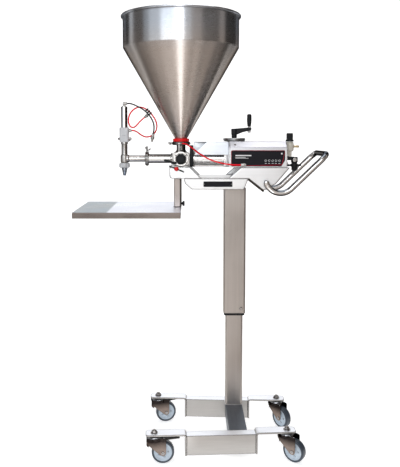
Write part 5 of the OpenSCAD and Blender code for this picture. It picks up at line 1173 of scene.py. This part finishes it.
# Wall cards: the same, and the height of their foot, below which a low card fills in
WALL_CARDS = (
    (-140, -116, WARM, 0.04, 0), (-116, -104, WHITE, 0.75, 0), (-104, -74, WARM, 0.12, 0),
    (-74, -62, COOL, 0.45, 0.9), (-62, -8, COOL, 0.98, 0.9), (-8, 4, WHITE, 3.4, 0.9),
    (4, 20, WHITE, 0.72, 0.9), (20, 40, WARM, 0.42, 0.9), (40, 78, WARM, 0.13, 0),
    (78, 92, WARM, 0.36, 0), (92, 140, WARM, 0.03, 0))
CENTRE = at(0, 0, 0)
NEAREST, FARTHEST, STRIDE = 0.44, 4, 0.04
FLOOR_R, WALL_R, WALL_TOP, CARD_Z = 4.2, 3.9, 3.8, 0.002
CEILING_HALF, CEILING_Z = 4, 3.85


def around(azimuth, r, z):
    """A spot round the hopper's axis."""
    a = math.radians(azimuth)
    return Vector((CENTRE.x + r * math.sin(a), CENTRE.y - r * math.cos(a), z))


def card(name, corners, material):
    mesh = bpy.data.meshes.new(name)
    mesh.from_pydata([tuple(c) for c in corners], [], [range(len(corners))])
    made = linked(name, mesh)
    mesh.materials.append(material)
    made.visible_camera = False
    made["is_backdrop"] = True


def wall_card(name, first, last, low, high, material):
    card(name, [around(first, WALL_R, low), around(last, WALL_R, low),
                around(last, WALL_R, high), around(first, WALL_R, high)], material)


for k, (first, last, color, strength) in enumerate(FLOOR_CARDS):
    middle = (first + last) / 2
    near = []
    for azimuth in (last, middle, first):
        r = NEAREST
        while in_view(*around(azimuth, r, 0).xy) and r < FARTHEST:
            r += STRIDE
        near.append(around(azimuth, r, CARD_Z))
    far = [around(azimuth, FLOOR_R, CARD_Z) for azimuth in (first, middle, last)]
    card(f"floor_card_{k}", far + near, glow(f"floor_glow_{k}", color, strength))
for k, (first, last, color, strength, foot) in enumerate(WALL_CARDS):
    line = [first + (last - first) * i / 4 for i in range(5)]
    for i, (a, b) in enumerate(zip(line, line[1:])):
        wall_card(f"wall_card_{k}_{i}", a, b, foot, WALL_TOP,
                  glow(f"wall_glow_{k}_{i}", color, strength))
        if foot:
            wall_card(f"low_card_{k}_{i}", a, b, 0, foot, glow(f"low_glow_{k}_{i}", WARM, 0.34))
card("ceiling", [(x * CEILING_HALF, y * CEILING_HALF, CEILING_Z)
                 for x, y in ((-1, -1), (1, -1), (1, 1), (-1, 1))],
     glow("ceiling_glow", WHITE, 0.10))


def lamp(name, place, target, size, power, color):
    data = bpy.data.lights.new(name, "AREA")
    data.shape = "RECTANGLE"
    data.size, data.size_y = size
    data.energy = power
    data.color = color
    made = linked(name, data)
    made.location = place
    made.rotation_euler = (Vector(target) - Vector(place)).to_track_quat("-Z", "Y").to_euler()


lamp("top", (0.1, -0.2, 3.5), (0, 0, 1.0), (2.2, 1.6), 40, WHITE)
lamp("key", (-1.0, -3.2, 2.1), (0, 0, 1.1), (2.6, 1.6), 22, COOL)

world = bpy.data.worlds.new("studio")
scene.world = world
world.use_nodes = True
background = world.node_tree.nodes["Background"]
background.inputs["Color"].default_value = (0.96, 0.97, 1.0, 1)
background.inputs["Strength"].default_value = 0.5
scene.view_settings.view_transform = "Standard"
scene.view_settings.exposure = 0.0

low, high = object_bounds()
